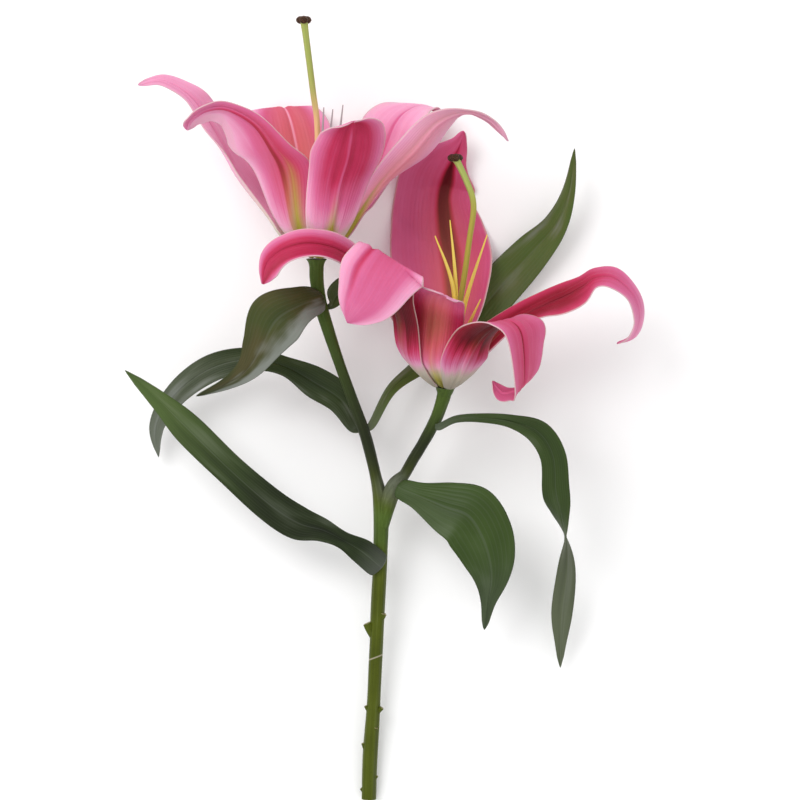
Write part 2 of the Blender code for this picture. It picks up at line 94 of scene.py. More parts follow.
# Fineness of the tubes: sides round them and steps along them. The stem's sides are a setting.
STEM_STEPS, PEDICEL_STEPS, SHEATH_STEPS = 280, 120, 40
STUB_SIDES, STUB_STEPS = 16, 10
PISTIL_SIDES, PISTIL_STEPS = 24, 160
FILAMENT_SIDES, FILAMENT_STEPS = 14, 60
RING_SIDES, RING_STEPS = 16, 36
KNOB_SEGMENTS, KNOB_RINGS = 28, 18

FORK = 150  # y at which the stem forks
SCAR = (-0.5, 68.5, 0)  # the pale ring low on the stem
FORK_SHEATH = (  # the skin that webs the fork: x, y, z, radius
    (6.5, 136.0, 23.6, 2.8), (8.7, 147.0, 26.6, 4.1), (12.2, 156.5, 29.0, 4.2), (17.3, 162.8, 30.3, 2.5),
)
STUB_ROOT = 0.6  # radius of a leaf stub where it leaves the stem, as a share of its end's
STUB_SWELL = 0.6  # share of its length by which a stub has its full radius

# Stage: the point of the layout under the camera, and the lamp, in metres
AIM = (15, 200, 50)
SENSOR_WIDTH = 36.0
FARTHEST = 20.0  # that the camera sees
LAMP_PLACE = (-0.7, 0.7, 1.3)
LAMP_SIZE = 0.9

# ---- the stem's lines: x, y, z, radius
MAIN_STEM = (
    (-0.9, -2.8, 3.5, 3.7), (-0.2, 20, 6.4, 3.8), (1.6, 48, 10, 3.4), (2.8, 72, 13.2, 3.4),
    (3.8, 95, 16.3, 3.6), (5, 122, 20.2, 3.6), (5.4, 146, 24.5, 3.9), (2.6, 162, 28, 3),
    (-2.3, 181.5, 32, 2.9), (-8.6, 199, 36, 2.8), (-15, 217, 40.5, 2.7),
    (-20.4, 233, 44, 3), (-24.6, 247, 46.6, 3.3), (-26.6, 259, 48.5, 3.4),
    (-26.8, 267, 49.6, 3.7), (-26.8, 270.5, 50, 5.2),
)
RIGHT_PEDICEL = (
    (5.6, 140, 24, 2.4), (9.5, 149.5, 26.5, 2.9), (15.5, 159.5, 29.5, 2.8), (21, 169, 32, 2.8),
    (27.5, 180, 35, 2.9), (33.2, 191, 38, 3.1), (36.3, 200, 40.5, 3.4),
    (37.3, 204, 41.6, 3.9), (37.6, 206.6, 42.2, 5.2),
)
# What is left of the leaves picked off the lower stem: x, y, z of the top, its radius, its length.
LEAF_STUBS = (
    (6.6, 92, 18.5, 1.5, 6), (-1.6, 87, 15.8, 1.9, 10), (5.8, 44, 11.5, 1, 5),
    (-2.2, 45, 10.5, 1, 6), (2.6, 34, 11, 1.1, 5), (-3.2, 26, 7.5, 1.3, 9),
    (2.8, 9.5, 5.5, 1.2, 5), (-4.4, 3, 4.5, 1.1, 5),
)


class Bloom:
    """Where a bloom stands on its receptacle, and which way it opens."""

    def __init__(self, name, base, axis):
        self.name = name
        self.base = Vector(base)
        self.axis = Vector(axis).normalized()
        self.right = (Vector((1, 0, 0)) - self.axis * self.axis.x).normalized()
        self.back = self.right.cross(self.axis) * -1

    def outward(self, angle):
        """The way out from the axis: 0 is right, 90 is down to the table, 270 is up from it."""
        turned = math.radians(angle)
        return self.right * math.cos(turned) + self.back * math.sin(turned)

    def point(self, angle, height, radius):
        return self.base + self.axis * height + self.outward(angle) * radius


LEFT_BLOOM = Bloom("left_bloom", (-26.8, 271, 50), (0, 1, 0.10))
RIGHT_BLOOM = Bloom("right_bloom", (37.8, 207, 42.4), (0.05, 1, 0.30))

# Tepals past the throat. A rib is x, y, z of the midrib, half width, turn about it, and cup in degrees,
# and where its halves differ, the share by which the half on the positive side is wider than the mean.
# Each entry: bloom, name, whorl, angle round the axis, ribs, edge wave (height, count, phase), and the
# tints of its inner and outer face, as Tint lists them.
TEPALS = (
    (LEFT_BLOOM, "front", "outer", 290, (
        (-15.5, 306, 81, 17.5, 0, 36, -0.1), (-11.5, 319, 88, 20, 0, 32, -0.08),
        (-9.5, 329, 95, 17.5, 0, 24, -0.12), (-8.5, 334.5, 101, 12, 0, 10, -0.1),
        (-8, 336.5, 106, 2, 0, 0),
    ), (1.2, 2.5, 0.4), (
        (0.5, 0.4, 0.2, 0.5, 0.15, 0.1, 0, 0.3), (0.71, 0.52, 0.56, 1.8, -0.16, 0.05, 0.02, 0),
    )),
    (LEFT_BLOOM, "front_left", "inner", 230, (
        (-46.5, 312, 77, 16.5, 15, 32, -0.15), (-50.8, 323.5, 84, 16, 18, 22, 0.24),
        (-58, 335, 89, 13.5, 18, 8, 0.4), (-70, 342.5, 92, 8.5, 10, -5, 0.3), (-80, 342, 92, 8, 0, -10),
        (-87, 337.5, 90, 6.5, 0, -10), (-90, 333, 88, 1.5, 0, 0),
    ), (1.5, 3, 1.2), (
        (0.4, 0.4, 0.2, 0.5, 0.15, 0.1, -0.1, 0.3),
        (0.57, 0.42, 0.4, 1.3, 0.24, 0.1, -0.34, 0.1, -0.34, -0.22),
    )),
    (LEFT_BLOOM, "left", "outer", 166, (
        (-65, 311, 42, 16, 0, 30), (-74, 327, 43, 15, 0, 24), (-82, 341, 46, 11, -15, 15, 0.1),
        (-90.5, 352, 49, 6, -35, 10, 0.3), (-104, 359.5, 50, 3.4, -35, 5, 0.2),
        (-116, 357.5, 48, 1, -30, 0),
    ), (0.8, 3, 0), (
        (0.32, 0.24, 0.44, 0.2, 0.15, 0.1, -0.06, 0), (0.28, 0.15, 0.62, 0.1, 0.2, 0.05, 0.1, 0),
    )),
    (LEFT_BLOOM, "back_left", "inner", 108, (
        (-34.5, 301, 29, 17, 0, 30), (-38, 321, 22, 22, 0, 22), (-42, 340, 17, 21, 0, 10),
        (-45, 348, 11, 16, 0, 0), (-46, 345, 4.5, 9, 0, 0), (-46, 337, 0.3, 1.5, 0, 0),
    ), (1.5, 3, 2), (
        (0.6, 0.6, 0.16, 0.6, -0.4, 0.05, 0, 1.1, 0.04, 0.1), (0.45, 0.3, 0.3, 0.8, 0.05, 0.08, 0, 0.2),
    )),
    (LEFT_BLOOM, "back_right", "outer", 46, (
        (-4.5, 300, 31.5, 14, 4, 32), (5, 321, 26, 17.5, 8, 24), (12, 339, 24.5, 19, 4, 12),
        (20, 347, 20, 14, 0, 5), (29, 348.5, 13, 7, 0, 0), (37, 344, 6, 1.2, 0, 0),
    ), (1.5, 3, 1), (
        (0.36, 0.4, 0.16, 0.5, 0.15, 0.1, -0.14, 0.4), (0.5, 0.3, 0.35, 0.9, 0.1, 0.08, -0.05, 0.5),
    )),
    (LEFT_BLOOM, "right", "inner", 348, (
        (7, 308, 55, 13.5, -8, 36), (23, 322.5, 59, 15, -22, 30), (35.5, 337, 62, 13, -20, 20),
        (48, 343, 63, 9, 0, 10), (60, 339, 61, 4.5, 0, 5), (69, 329, 57, 0.8, 0, 0),
    ), (0.8, 3, 0.5), (
        (0.5, 0.3, 0.2, 0.5, 0.1, 0.1, 0, 0.3), (0.26, 0.1, 0.24, 2.4, 0.06, 0.06, -0.14, 0.8, 0, 0.18),
    )),
    (RIGHT_BLOOM, "back", "outer", 90, (
        (38, 246, 18, 21, 0, 36), (36, 267, 7.5, 27, 0, 32), (33.5, 288, -2.5, 24, 0, 20),
        (33.5, 303, -2.5, 20.5, 0, 16, -0.07), (36, 314, 4, 19.5, 0, 12, -0.08),
        (41, 323.5, 10, 11.5, 0, 8, -0.25), (45, 330.5, 13, 4.5, 0, 0), (47.5, 336, 15, 1.2, 0, 0),
    ), (1.2, 3.5, 2.5), (
        (0.58, 0.14, 0.1, 0.2, 0.47, 0.27, 0, 0.7, 0.07, 0.2), (0.5, 0.3, 0.3, 0.6, 0.1, 0.08, 0.1, 0.2),
    )),
    (RIGHT_BLOOM, "front_left", "outer", 204, (
        (15, 240, 68, 12, 8, 28), (10.5, 253, 78, 13.5, 24, 10), (9.5, 264, 85.5, 16, 40, -5),
        (9.5, 270, 92.5, 19.5, 27, -10, -0.14), (4, 261, 98, 19.5, 28, -12),
        (-1.5, 251, 95.5, 16.5, 28, -15), (-6.5, 244, 91.5, 11.5, 25, -15), (-11, 238, 86, 2, 20, 0),
    ), (1.2, 2.5, 0), (
        (0.6, 0.58, 0.1, 0.4, 0.2, 0.14, -0.16, 0, 0, 0.55),
        (0.98, 0.06, 0.38, 0.15, -0.02, 0.05, -0.1, 0),
    )),
    (RIGHT_BLOOM, "front", "inner", 248, (
        (32.5, 238, 70, 14.5, 0, 30), (33.5, 246.5, 78, 14, 6, 20), (35.5, 251.5, 85, 11.5, 14, 5),
        (37.5, 251, 91, 5.5, 14, 0),
    ), (1, 2.5, 1), (
        (0.4, 0.3, 0.2, 0.4, 0.1, 0.1, -0.12, 0.2), (0.94, 0.15, 0.6, 1, 0.05, 0.05, -0.42, 0.5),
    )),
    (RIGHT_BLOOM, "front_right", "outer", 293, (
        (53, 229.5, 74, 14, 10, 32), (60, 236, 81, 16.5, 20, 18), (68, 239, 86, 17, 30, 5),
        (74, 234.5, 89, 18.5, 32, 5, -0.18), (76, 223, 88, 16, 32, 5, -0.18),
        (76, 209, 82, 12, 32, 10, -0.1), (72.5, 204.5, 74, 6.5, 30, 15), (66, 203.5, 67, 4.5, 20, 15),
        (61, 209.5, 64, 1, 20, 0),
    ), (1, 2.5, 0), (
        (0.6, 0.25, 0.1, 0.3, 0.22, 0.08, 0.04, 0), (0.98, 0.12, 0.35, 0.08, 0, 0.05, -0.45, 0),
    )),
    (RIGHT_BLOOM, "right", "inner", 20, (
        (72.5, 239.5, 45, 10.5, 0, 25), (87, 247.5, 48, 12, 0, 18, 0.15), (98, 252.5, 52, 14, 0, 8, 0.25),
        (106, 257, 54, 12.5, 0, 0, 0.25), (113, 261, 56, 9, 0, 0), (122, 260.5, 57, 8.5, 0, 0),
        (131, 252, 55, 6, 0, 10), (134, 241, 51, 6.5, 0, 15), (130.5, 231.5, 48, 7.5, 0, 10),
        (123.5, 228.5, 47, 1, 0, 0),
    ), (0.8, 3, 0), (
        (0.88, 0.24, 0.12, 0.3, 0.08, 0.08, -0.56, 0), (0.55, 0.3, 0.32, 0.6, 0.05, 0.06, -0.05, 0),
    )),
    (RIGHT_BLOOM, "left", "inner", 145, (
        (14.5, 240.5, 41.5, 9, 0, 38), (2, 257, 57, 9.5, 5, 42), (-12, 270, 75, 10.5, 15, 45),
        (-26, 275, 83, 10.5, 20, 45), (-39, 273.5, 83, 10.5, 15, 40), (-49, 267, 76, 8.5, 0, 20),
        (-53, 257.5, 69, 1.5, 0, 0),
    ), (1, 3, 0), (
        (0.75, 0.54, 0.12, 0.4, 0.14, 0.1, 0, 0, -0.05, 0.3), (0.5, 0.2, 0.3, 0.6, 0.05, 0.06, 0.05, 0),
    )),
)

# Leaves. Each entry: name, ribs, edge wave, and its look, as LeafLook lists it. The upper face looks up
# at the base.
LEAVES = (
    ("leaf_left_long", (
        (5, 116, 25.4, 6.5, 0, -30), (-4, 123.5, 26.8, 6.5, 0, -10), (-14, 129.5, 28, 4.5, 0, 10),
        (-24, 134.5, 30, 6, 0, 10), (-36, 138, 31, 8.6, 0, 10), (-50, 147, 33, 8.6, 0, 10),
        (-70, 164.5, 36, 7.8, 0, 10), (-91, 185, 38, 7.8, 0, 10), (-105, 199, 40, 5, 0, 10),
        (-123, 215, 42, 0.7, 0, 0),
    ), (1.2, 3, 0), (0.3, 1.5, 0.25, 0.22, 0, 0.05, 0.35)),
    ("leaf_left_arched", (
        (-7, 187, 28.4, 4.5, 0, 15), (-14.5, 200, 29.5, 7.5, 0, 15), (-28, 209, 29, 8, 0, 10),
        (-43, 217, 28, 5, 0, 10), (-60, 220.5, 28, 6, 0, 10), (-80, 216, 26, 7, 0, 10),
        (-97.5, 203.5, 21, 6, 0, 10), (-108, 187, 15, 4, 0, 10), (-107.5, 171, 9, 0.7, 0, 0),
    ), (0.8, 3, 1), (0.52, 0.95, 0.6, 0.6, -0.1, 0.65, 0.1)),
    ("leaf_upper_left", (
        (-24, 251, 53, 6, 0, -30), (-34, 247.5, 60, 9.5, 0, 20), (-46.5, 240, 64, 14.5, 0, 10),
        (-54, 226.5, 61, 10, 0, 10), (-61, 215.5, 56, 6, 0, 10), (-72, 208, 52, 3.2, 0, 10),
        (-87, 202, 48, 0.7, 0, 0),
    ), (1.2, 2, 0), (0.92, 0.62, 1.8, 0.95, -0.65, 0, 0)),
    ("leaf_bract", (
        (-19, 247.5, 46.5, 2, 0, 20), (-16.5, 252.5, 50, 5.5, 0, 20), (-11, 257, 53, 6, 0, 20),
        (-5, 259.5, 53, 4, 0, 10), (1, 260.5, 51, 0.7, 0, 0),
    ), (0.3, 2, 0), (0.9, 0.85, 0.9, 0.5, 0, 0, 0.1)),
    ("leaf_right_broad", (
        (14.5, 156, 34, 5, 0, -30), (24, 152, 38, 7, 0, 15), (37.5, 146.5, 43, 13, 0, 10),
        (49, 142, 46, 16.5, 0, 10), (56, 131.5, 45, 16, 0, 10), (60, 119.5, 42, 13, 0, 10),
        (61, 108.8, 37, 8.5, 0, 10), (59.3, 98, 32, 3.8, 0, 10), (57.5, 84, 26, 0.7, 0, 0),
    ), (1.2, 2.5, 0), (0.9, 0.66, 0.1, 0.1, 0.1, 0.14, 0.05)),
    ("leaf_right_drooping", (
        (34.5, 186.5, 41, 1.8, 0, 20), (43.5, 190.5, 44, 1.9, 0, 15), (57, 191, 48, 2.4, 0, 10),
        (71, 189.3, 52, 3.5, 0, 10), (84, 184, 54, 6.2, 0, 10), (91.5, 172, 52, 6.6, 0, 10),
        (93, 155, 47, 7, 0, 10), (95.5, 143, 42, 6.5, 45, 10), (98, 131, 36, 6, 90, 10),
        (99, 114, 28, 6, 140, 10), (97, 92, 18, 5.6, 165, 10), (96.5, 76, 11, 2.9, 170, 10),
        (96.5, 64, 6, 0.7, 170, 0),
    ), (0.6, 3, 0), (0.74, 1.1, 0.2, 0.25, 0, 0.1, 0.25)),
    ("leaf_right_tall", (
        (0.8, 187.5, 30, 2, 0, 20), (10.5, 205, 22, 2.8, 0, 15), (25, 217, 13, 4.6, 0, 10),
        (46, 234, 7, 9.5, 0, 10), (66, 257.5, 5, 11, 0, 15), (82, 275, 8, 9.7, 0, 15),
        (94, 289, 13, 6.4, 0, 15), (100.5, 306, 19, 3.4, 0, 15), (103.2, 327, 24, 0.7, 0, 0),
    ), (0.6, 3, 0), (1.5, 1.6, 0.8, 0.75, -0.15, 0, 0.4)),
)

# Styles and filaments: the points each passes through after the receptacle.
STYLES = {
    "left_bloom": ((-26.3, 334, 53), (-28.6, 355, 55), (-33, 389.5, 58)),
    "right_bloom": ((45, 250, 58), (49.5, 280, 65), (51.5, 297, 66), (48, 309, 65), (42.5, 320.5, 63)),
}
FILAMENTS = {
    "left_bloom": (
        ((-24.5, 310, 55), (-23, 346, 56)), ((-22, 310, 55), (-18.5, 345, 57)),
        ((-18, 310, 52), (-13.5, 347.5, 52)), ((-14, 308, 58), (-8, 331, 62)),
        ((-24, 305, 60), (-22, 328, 66)), ((-12, 305, 52), (-3, 326, 52)),
    ),
    "right_bloom": (
        ((42, 253, 48), (32.5, 282, 52)), ((43, 252, 45), (40, 290, 48)),
        ((47.5, 248, 50), (58.5, 282.5, 56)), ((33, 240, 54), (22, 258, 62)),
        ((41, 232, 59), (44, 249, 71)), ((47, 232, 57), (55, 250, 70)),
    ),
}


class Tint(NamedTuple):
    """How one face of a tepal is coloured. Blush runs from 0, cream, to 1, maroon."""

    blush: float  # of the panels beside the midrib
    margin: float  # share by which the margins are paler
    base: float  # share of the length at which the cream base has gone
    wedge: float  # strength of the yellow green wedge at the foot
    rib: float  # blush added along the midrib
    rib_width: float  # half width of that band, as a share of the tepal's
    tip: float  # blush added towards the tip
    peach: float  # strength of the peach glow low down
    slant: float = 0.0  # blush added towards the positive side
    shift: float = 0.0  # where the midrib's marks lie, from -1 to 1 across the tepal


class LeafLook(NamedTuple):
    """How a leaf is coloured."""

    shade: float  # brightness near the foot
    tip: float  # brightness near the tip
    olive: float  # share of olive brown in it
    waxy: float  # strength of the grey wax bloom and painted sheen patches
    side: float  # how far the wax bloom and painted sheen keep to the positive side
    frost: float  # bloom added towards the tip
    foot: float  # bloom on the sheathing foot


BLUSH_STOPS = (0.0, 0.2, 0.44, 0.7, 0.86, 1.0)  # blush at cream, pale, pink, crimson, wine and maroon
PALEST = 0.17  # blush that is left in a tepal's palest parts
WEDGE_REACH = (0.3, 0.45)  # share of the length that the green wedge takes, inside and outside
DRIED = {"left_bloom": 0.95, "right_bloom": 0.15}  # how dry the filaments' ends are
# The tepals' feet are darkened as painted shade, where the receptacle and the other tepals shade them.
PAINTED_FOOT_SHADES = {"left_bloom": 0.72, "right_bloom": 0.48}  # brightness of the tepals' feet


def to_world(point):
    """A point of the layout, in millimetres, as metres from the origin under the flower's middle."""
    return Vector(((point[0] - MIDDLE[0]) * MM, (point[1] - MIDDLE[1]) * MM, point[2] * MM))


# ---- sizes and colours a user may change
def length(name, description, default):
    return bpy.props.FloatProperty(
        name=name, description=description, default=default, min=0.0, unit="LENGTH", precision=4
    )


def colour(name, description, default):
    return bpy.props.FloatVectorProperty(
        name=name, description=description, default=default, size=3, min=0.0, max=1.0, subtype="COLOR"
    )


def factor(name, description, default, most=1.0):
    return bpy.props.FloatProperty(
        name=name, description=description, default=default, min=0.0, max=most, subtype="FACTOR"
    )


class LilyShape(bpy.types.PropertyGroup):
    """Thicknesses and fineness of the blades and tubes."""

    tepal_thickness: length("Tepal", "Thickness of a tepal along its midrib", 1.1 * MM)
    leaf_thickness: length("Leaf", "Thickness of a leaf along its midrib", 0.8 * MM)
    edge_share: factor("Edge", "Thickness of a blade's edge, as a share of its midrib's", 0.5)
    tepal_groove: length("Groove", "Depth of a tepal's central groove", 0.9 * MM)
    vein_height: length("Veins", "Height of the veins on a blade", 0.035 * MM)
    across: bpy.props.IntProperty(name="Across", description="Faces across a blade", default=32, min=6)
    round_stem: bpy.props.IntProperty(name="Stem", description="Faces round the stem", default=32, min=8)


class LilyColours(bpy.types.PropertyGroup):
    """Colours of the flower."""

    cream: colour("Cream", "A tepal's base and rolled edge", (0.64, 0.55, 0.45))
    pale: colour("Pale pink", "Margins of a tepal", (0.79, 0.35, 0.53))
    pink: colour("Pink", "Open face of a tepal", (0.62, 0.130, 0.28))
    crimson: colour("Crimson", "Middle panels of a tepal", (0.48, 0.030, 0.092))
    wine: colour("Wine", "Deeper stripes of a tepal", (0.27, 0.009, 0.028))
    maroon: colour("Maroon", "Darkest parts of a tepal", (0.095, 0.002, 0.007))
    peach: colour("Peach", "Glow low on a tepal", (0.78, 0.26, 0.17))
    wedge: colour("Wedge", "Yellow green at a tepal's foot", (0.36, 0.31, 0.045))
    leaf: colour("Leaf", "Upper face of a leaf", (0.038, 0.072, 0.012))
    olive: colour("Olive", "Olive parts of a leaf", (0.070, 0.062, 0.020))
    # grey wax bloom of the leaves and stem, used also as painted sheen on them
    waxy: colour("Waxy bloom", "Grey bloom on a leaf", (0.185, 0.20, 0.175))
    leaf_under: colour("Leaf underside", "Lower face of a leaf", (0.085, 0.105, 0.055))
    stem: colour("Stem", "Lower stem", (0.064, 0.082, 0.004))
    stem_dark: colour("Upper stem", "Stem above the fork", (0.019, 0.025, 0.008))
    stem_fresh: colour("Fresh stem", "Stem under the blooms", (0.060, 0.100, 0.014))
    pith: colour("Pith", "Cut end of the stem", (0.50, 0.52, 0.26))
    scar_dark: colour("Scar", "Hollows of a leaf scar", (0.07, 0.055, 0.02))
    scar_pale: colour("Pale scar", "Dry parts of a leaf scar", (0.34, 0.31, 0.13))
    style: colour("Style", "Style of the pistil", (0.31, 0.36, 0.085))
    # painted highlight: the lit, warm foot of the older bloom's style
    style_foot: colour("Style foot", "Foot of the older bloom's style", (0.76, 0.52, 0.24))
    stigma: colour("Stigma", "Stigma at the style's end", (0.055, 0.022, 0.009))
    filament: colour("Filament", "Bare filaments", (0.95, 0.74, 0.05))
    dry_tip: colour("Filament tip", "Dried ends of the filaments", (0.34, 0.31, 0.35))


class LilyStage(bpy.types.PropertyGroup):
    """Table, light and camera."""

    table: colour("Table", "Colour of the table", (0.97, 0.97, 0.97))
    table_width: length("Width", "Width of the table", 6.0)
    camera_height: length("Camera height", "Height of the camera above the blooms", 2.7778)
    camera_lens: bpy.props.FloatProperty(
        name="Lens", description="Focal length", default=250.0, unit="CAMERA"
    )
    sky: factor("Sky", "Strength of the light from all round", 0.94, 5.0)
    key: bpy.props.FloatProperty(
        name="Key", description="Power of the large soft lamp", default=11.0, subtype="POWER", unit="POWER"
    )


# ---- materials
class Value:
    """A socket in a material. Sums on it add Math nodes."""

    def __init__(self, finish, socket):
        self.finish = finish
        self.socket = socket

    def __add__(self, other):
        return self.finish.math("ADD", self, other)

    def __sub__(self, other):
        return self.finish.math("SUBTRACT", self, other)

    def __rsub__(self, other):
        return self.finish.math("SUBTRACT", other, self)

    def __mul__(self, other):
        return self.finish.math("MULTIPLY", self, other)

    def __abs__(self):
        return self.finish.math("ABSOLUTE", self)

    __radd__ = __add__
    __rmul__ = __mul__


class Finish:
    """One material, and the nodes that vary its surface."""

    def __init__(self, name):
        self.material = bpy.data.materials.new(name)
        self.material.use_nodes = True
        self.tree = self.material.node_tree
        shader = self.tree.nodes["Principled BSDF"]
        self.sockets = {socket.name.lower().replace(" ", "_"): socket for socket in shader.inputs}

    def node(self, kind, settings=(), values=(), output=0):
        """A new node: its settings are set first, and then the values or links of its sockets."""
        made = self.tree.nodes.new("ShaderNode" + kind)
        for key, value in dict(settings).items():
            if key == "stops":
                while len(made.color_ramp.elements) < len(value):
                    made.color_ramp.elements.new(1.0)
                for stop, (place, shade) in zip(made.color_ramp.elements, value):
                    stop.position = place
                    stop.color = (*shade, 1.0)
            else:
                setattr(made, key, value)
        for key, value in dict(values).items():
            self.feed(made.inputs[key], value)
        return Value(self, made.outputs[output])

    def feed(self, socket, value):
        if isinstance(value, Value):
            self.tree.links.new(value.socket, socket)
        elif hasattr(value, "__len__") and len(socket.default_value) == 4:
            socket.default_value = (*value, 1.0)
        else:
            socket.default_value = value

    def set(self, **values):
        """Sets or links the shader's sockets, and returns the material."""
        for key, value in values.items():
            self.feed(self.sockets[key], value)
        return self.material

    def math(self, operation, *values):
        return self.node("Math", {"operation": operation}, dict(enumerate(values)))

    def vector(self, operation, values, output=0):
        return self.node("VectorMath", {"operation": operation}, values, output)

    def step(self, value, low, high, first=0.0, second=1.0):
        """first where value is at low, second where it is at high, smooth between."""
        limits = {"Value": value, "From Min": low, "From Max": high, "To Min": first, "To Max": second}
        return self.node("MapRange", {"interpolation_type": "SMOOTHSTEP"}, limits)

    def tinted(self, hue, brightness):
        """A varying colour, this many times as bright."""
        return self.vector("SCALE", {0: hue, "Scale": brightness})

    def mix(self, share, first, second):
        return self.node("Mix", {"data_type": "RGBA"}, {0: share, 6: first, 7: second}, output=2)

    def noise(self, vector, scale, detail=3.0):
        return self.node("TexNoise", (), {"Vector": vector, "Scale": scale, "Detail": detail})

    def cells(self, vector, scale):
        return self.node("TexVoronoi", (), {"Vector": vector, "Scale": scale})

    def place(self):
        return self.node("TexCoord", output=3)

    def near(self, place, point, inner, outer):
        """1 within the inner distance of a layout point, and 0 beyond the outer one."""
        away = self.vector("SUBTRACT", {0: place, 1: to_world(point)})
        return 1.0 - self.step(self.vector("LENGTH", {0: away}, output=1), inner * MM, outer * MM)

    def parts(self, vector, *axes):
        return [self.node("SeparateXYZ", (), {0: vector}, output=axis) for axis in axes]

    def blade_place(self):
        """(place on the blade, distance from the midrib from 0 to 1, share of the length, side)."""
        spread = self.node("UVMap", {"uv_map": "UVMap"})
        side, share = self.parts(spread, 0, 1)
        return spread, abs(side * 2.0 - 1.0), share, side

    def drawn_out(self, spread, across, along, detail):
        """Noise about 0 over a blade, with these scales across and along it."""
        stretched = self.vector("MULTIPLY", {0: spread, 1: (across, along, 1.0)})
        return self.noise(stretched, 1.0, detail) - 0.5

    def tube_streaks(self, round_scale, along_scale, detail=4.0):
        """(noise about 0 that meets itself round a tube, share of the tube's length)."""
        around, share = self.parts(self.node("UVMap", {"uv_map": "UVMap"}), 0, 1)
        turned = around * math.tau
        sides = self.math("COSINE", turned) * round_scale, self.math("SINE", turned) * round_scale
        place = self.node("CombineXYZ", (), {0: sides[0], 1: sides[1], 2: share * along_scale})
        return self.noise(place, 1.0, detail) - 0.5, share

    def bump(self, height, distance):
        return self.node("Bump", (), {"Height": height, "Distance": distance * MM})


def shaded(hue, share):
    """The colour, this many times as bright."""
    return [min(1.0, part * share) for part in hue]


def blush_hue(finish, blush, hues):
    """Cream, pale pink, pink, crimson, wine and maroon, in that order, as blush goes from 0 to 1."""
    shades = (hues.cream, hues.pale, hues.pink, hues.crimson, hues.wine, hues.maroon)
    return finish.node("ValToRGB", {"stops": tuple(zip(BLUSH_STOPS, shades))}, {0: blush})


def tepal_surface(name, hues, tint, wedge_reach, painted_foot_shade):
    """One face of a tepal: blush in panels beside the midrib, fine stripes, a green foot, and painted shade
    darkening the foot.
    """
    finish = Finish(name)
    spread, off_middle, share, side = finish.blade_place()
    place = finish.place()
    across = side * 2.0 - 1.0
    off_rib = abs(across - tint.shift)
    stripes = finish.drawn_out(spread, 40.0, 2.0, 4.0)
    drift = finish.drawn_out(spread, 4.0, 2.5, 2.0)
    mottle = finish.noise(place, 90.0, 4.0) - 0.5
    grain = finish.noise(place, 2200.0, 2.0)

    risen = finish.step(share + stripes * 0.07 + drift * 0.12, tint.base * 0.4, tint.base)
    paler = finish.step(off_middle + drift * 0.3, 0.40, 1.0) * tint.margin
    near_rib = 1.0 - finish.step(off_rib + stripes * 0.05, tint.rib_width * 0.2, tint.rib_width)
    along_rib = finish.step(share, 0.08, 0.25) * (1.0 - finish.step(share, 0.72, 0.95))
    towards_tip = finish.step(share, 0.42, 0.92)
    blush = (tint.blush + towards_tip * tint.tip + across * tint.slant) * (1.0 - paler)
    blush = blush + near_rib * along_rib * tint.rib
    blush = finish.math("MAXIMUM", blush + stripes * 0.09 + drift * 0.2 + mottle * 0.06, PALEST)
    hue = blush_hue(finish, blush * risen, hues)

    glow = (1.0 - finish.step(off_rib, 0.15, 0.8)) * finish.step(share, tint.base * 0.45, tint.base * 0.95)
    glow = glow * (1.0 - finish.step(share + drift * 0.2, tint.base, tint.base + 0.35 + 0.5 * tint.peach))
    hue = finish.mix(glow * (0.7 * tint.peach), hue, hues.peach)
    foot = abs(across - 2.0 * tint.shift) * 0.9 + share * (1.0 / wedge_reach) + stripes * 0.15
    hue = finish.mix((1.0 - finish.step(foot, 0.45, 1.15)) * tint.wedge, hue, hues.wedge)
    hue = finish.mix(finish.step(off_middle, 0.95, 1.0) * 0.5, hue, hues.cream)
    # painted shade: darkens the tepal's foot, low on the blade
    hue = finish.tinted(hue, finish.step(share + drift * 0.1, 0.05, 0.32, painted_foot_shade, 1.0))
    veins = finish.math("SINE", side * (math.tau * 23.0) + stripes * 3.0)
    return finish.set(
        base_color=hue, roughness=0.5 + 0.25 * mottle, specular_ior_level=0.12, subsurface_weight=0.10,
        subsurface_radius=(0.004, 0.0012, 0.001), subsurface_scale=0.35,
        normal=finish.bump(veins * 0.3 + grain * 0.5 + stripes * 1.1, 0.10),
    )


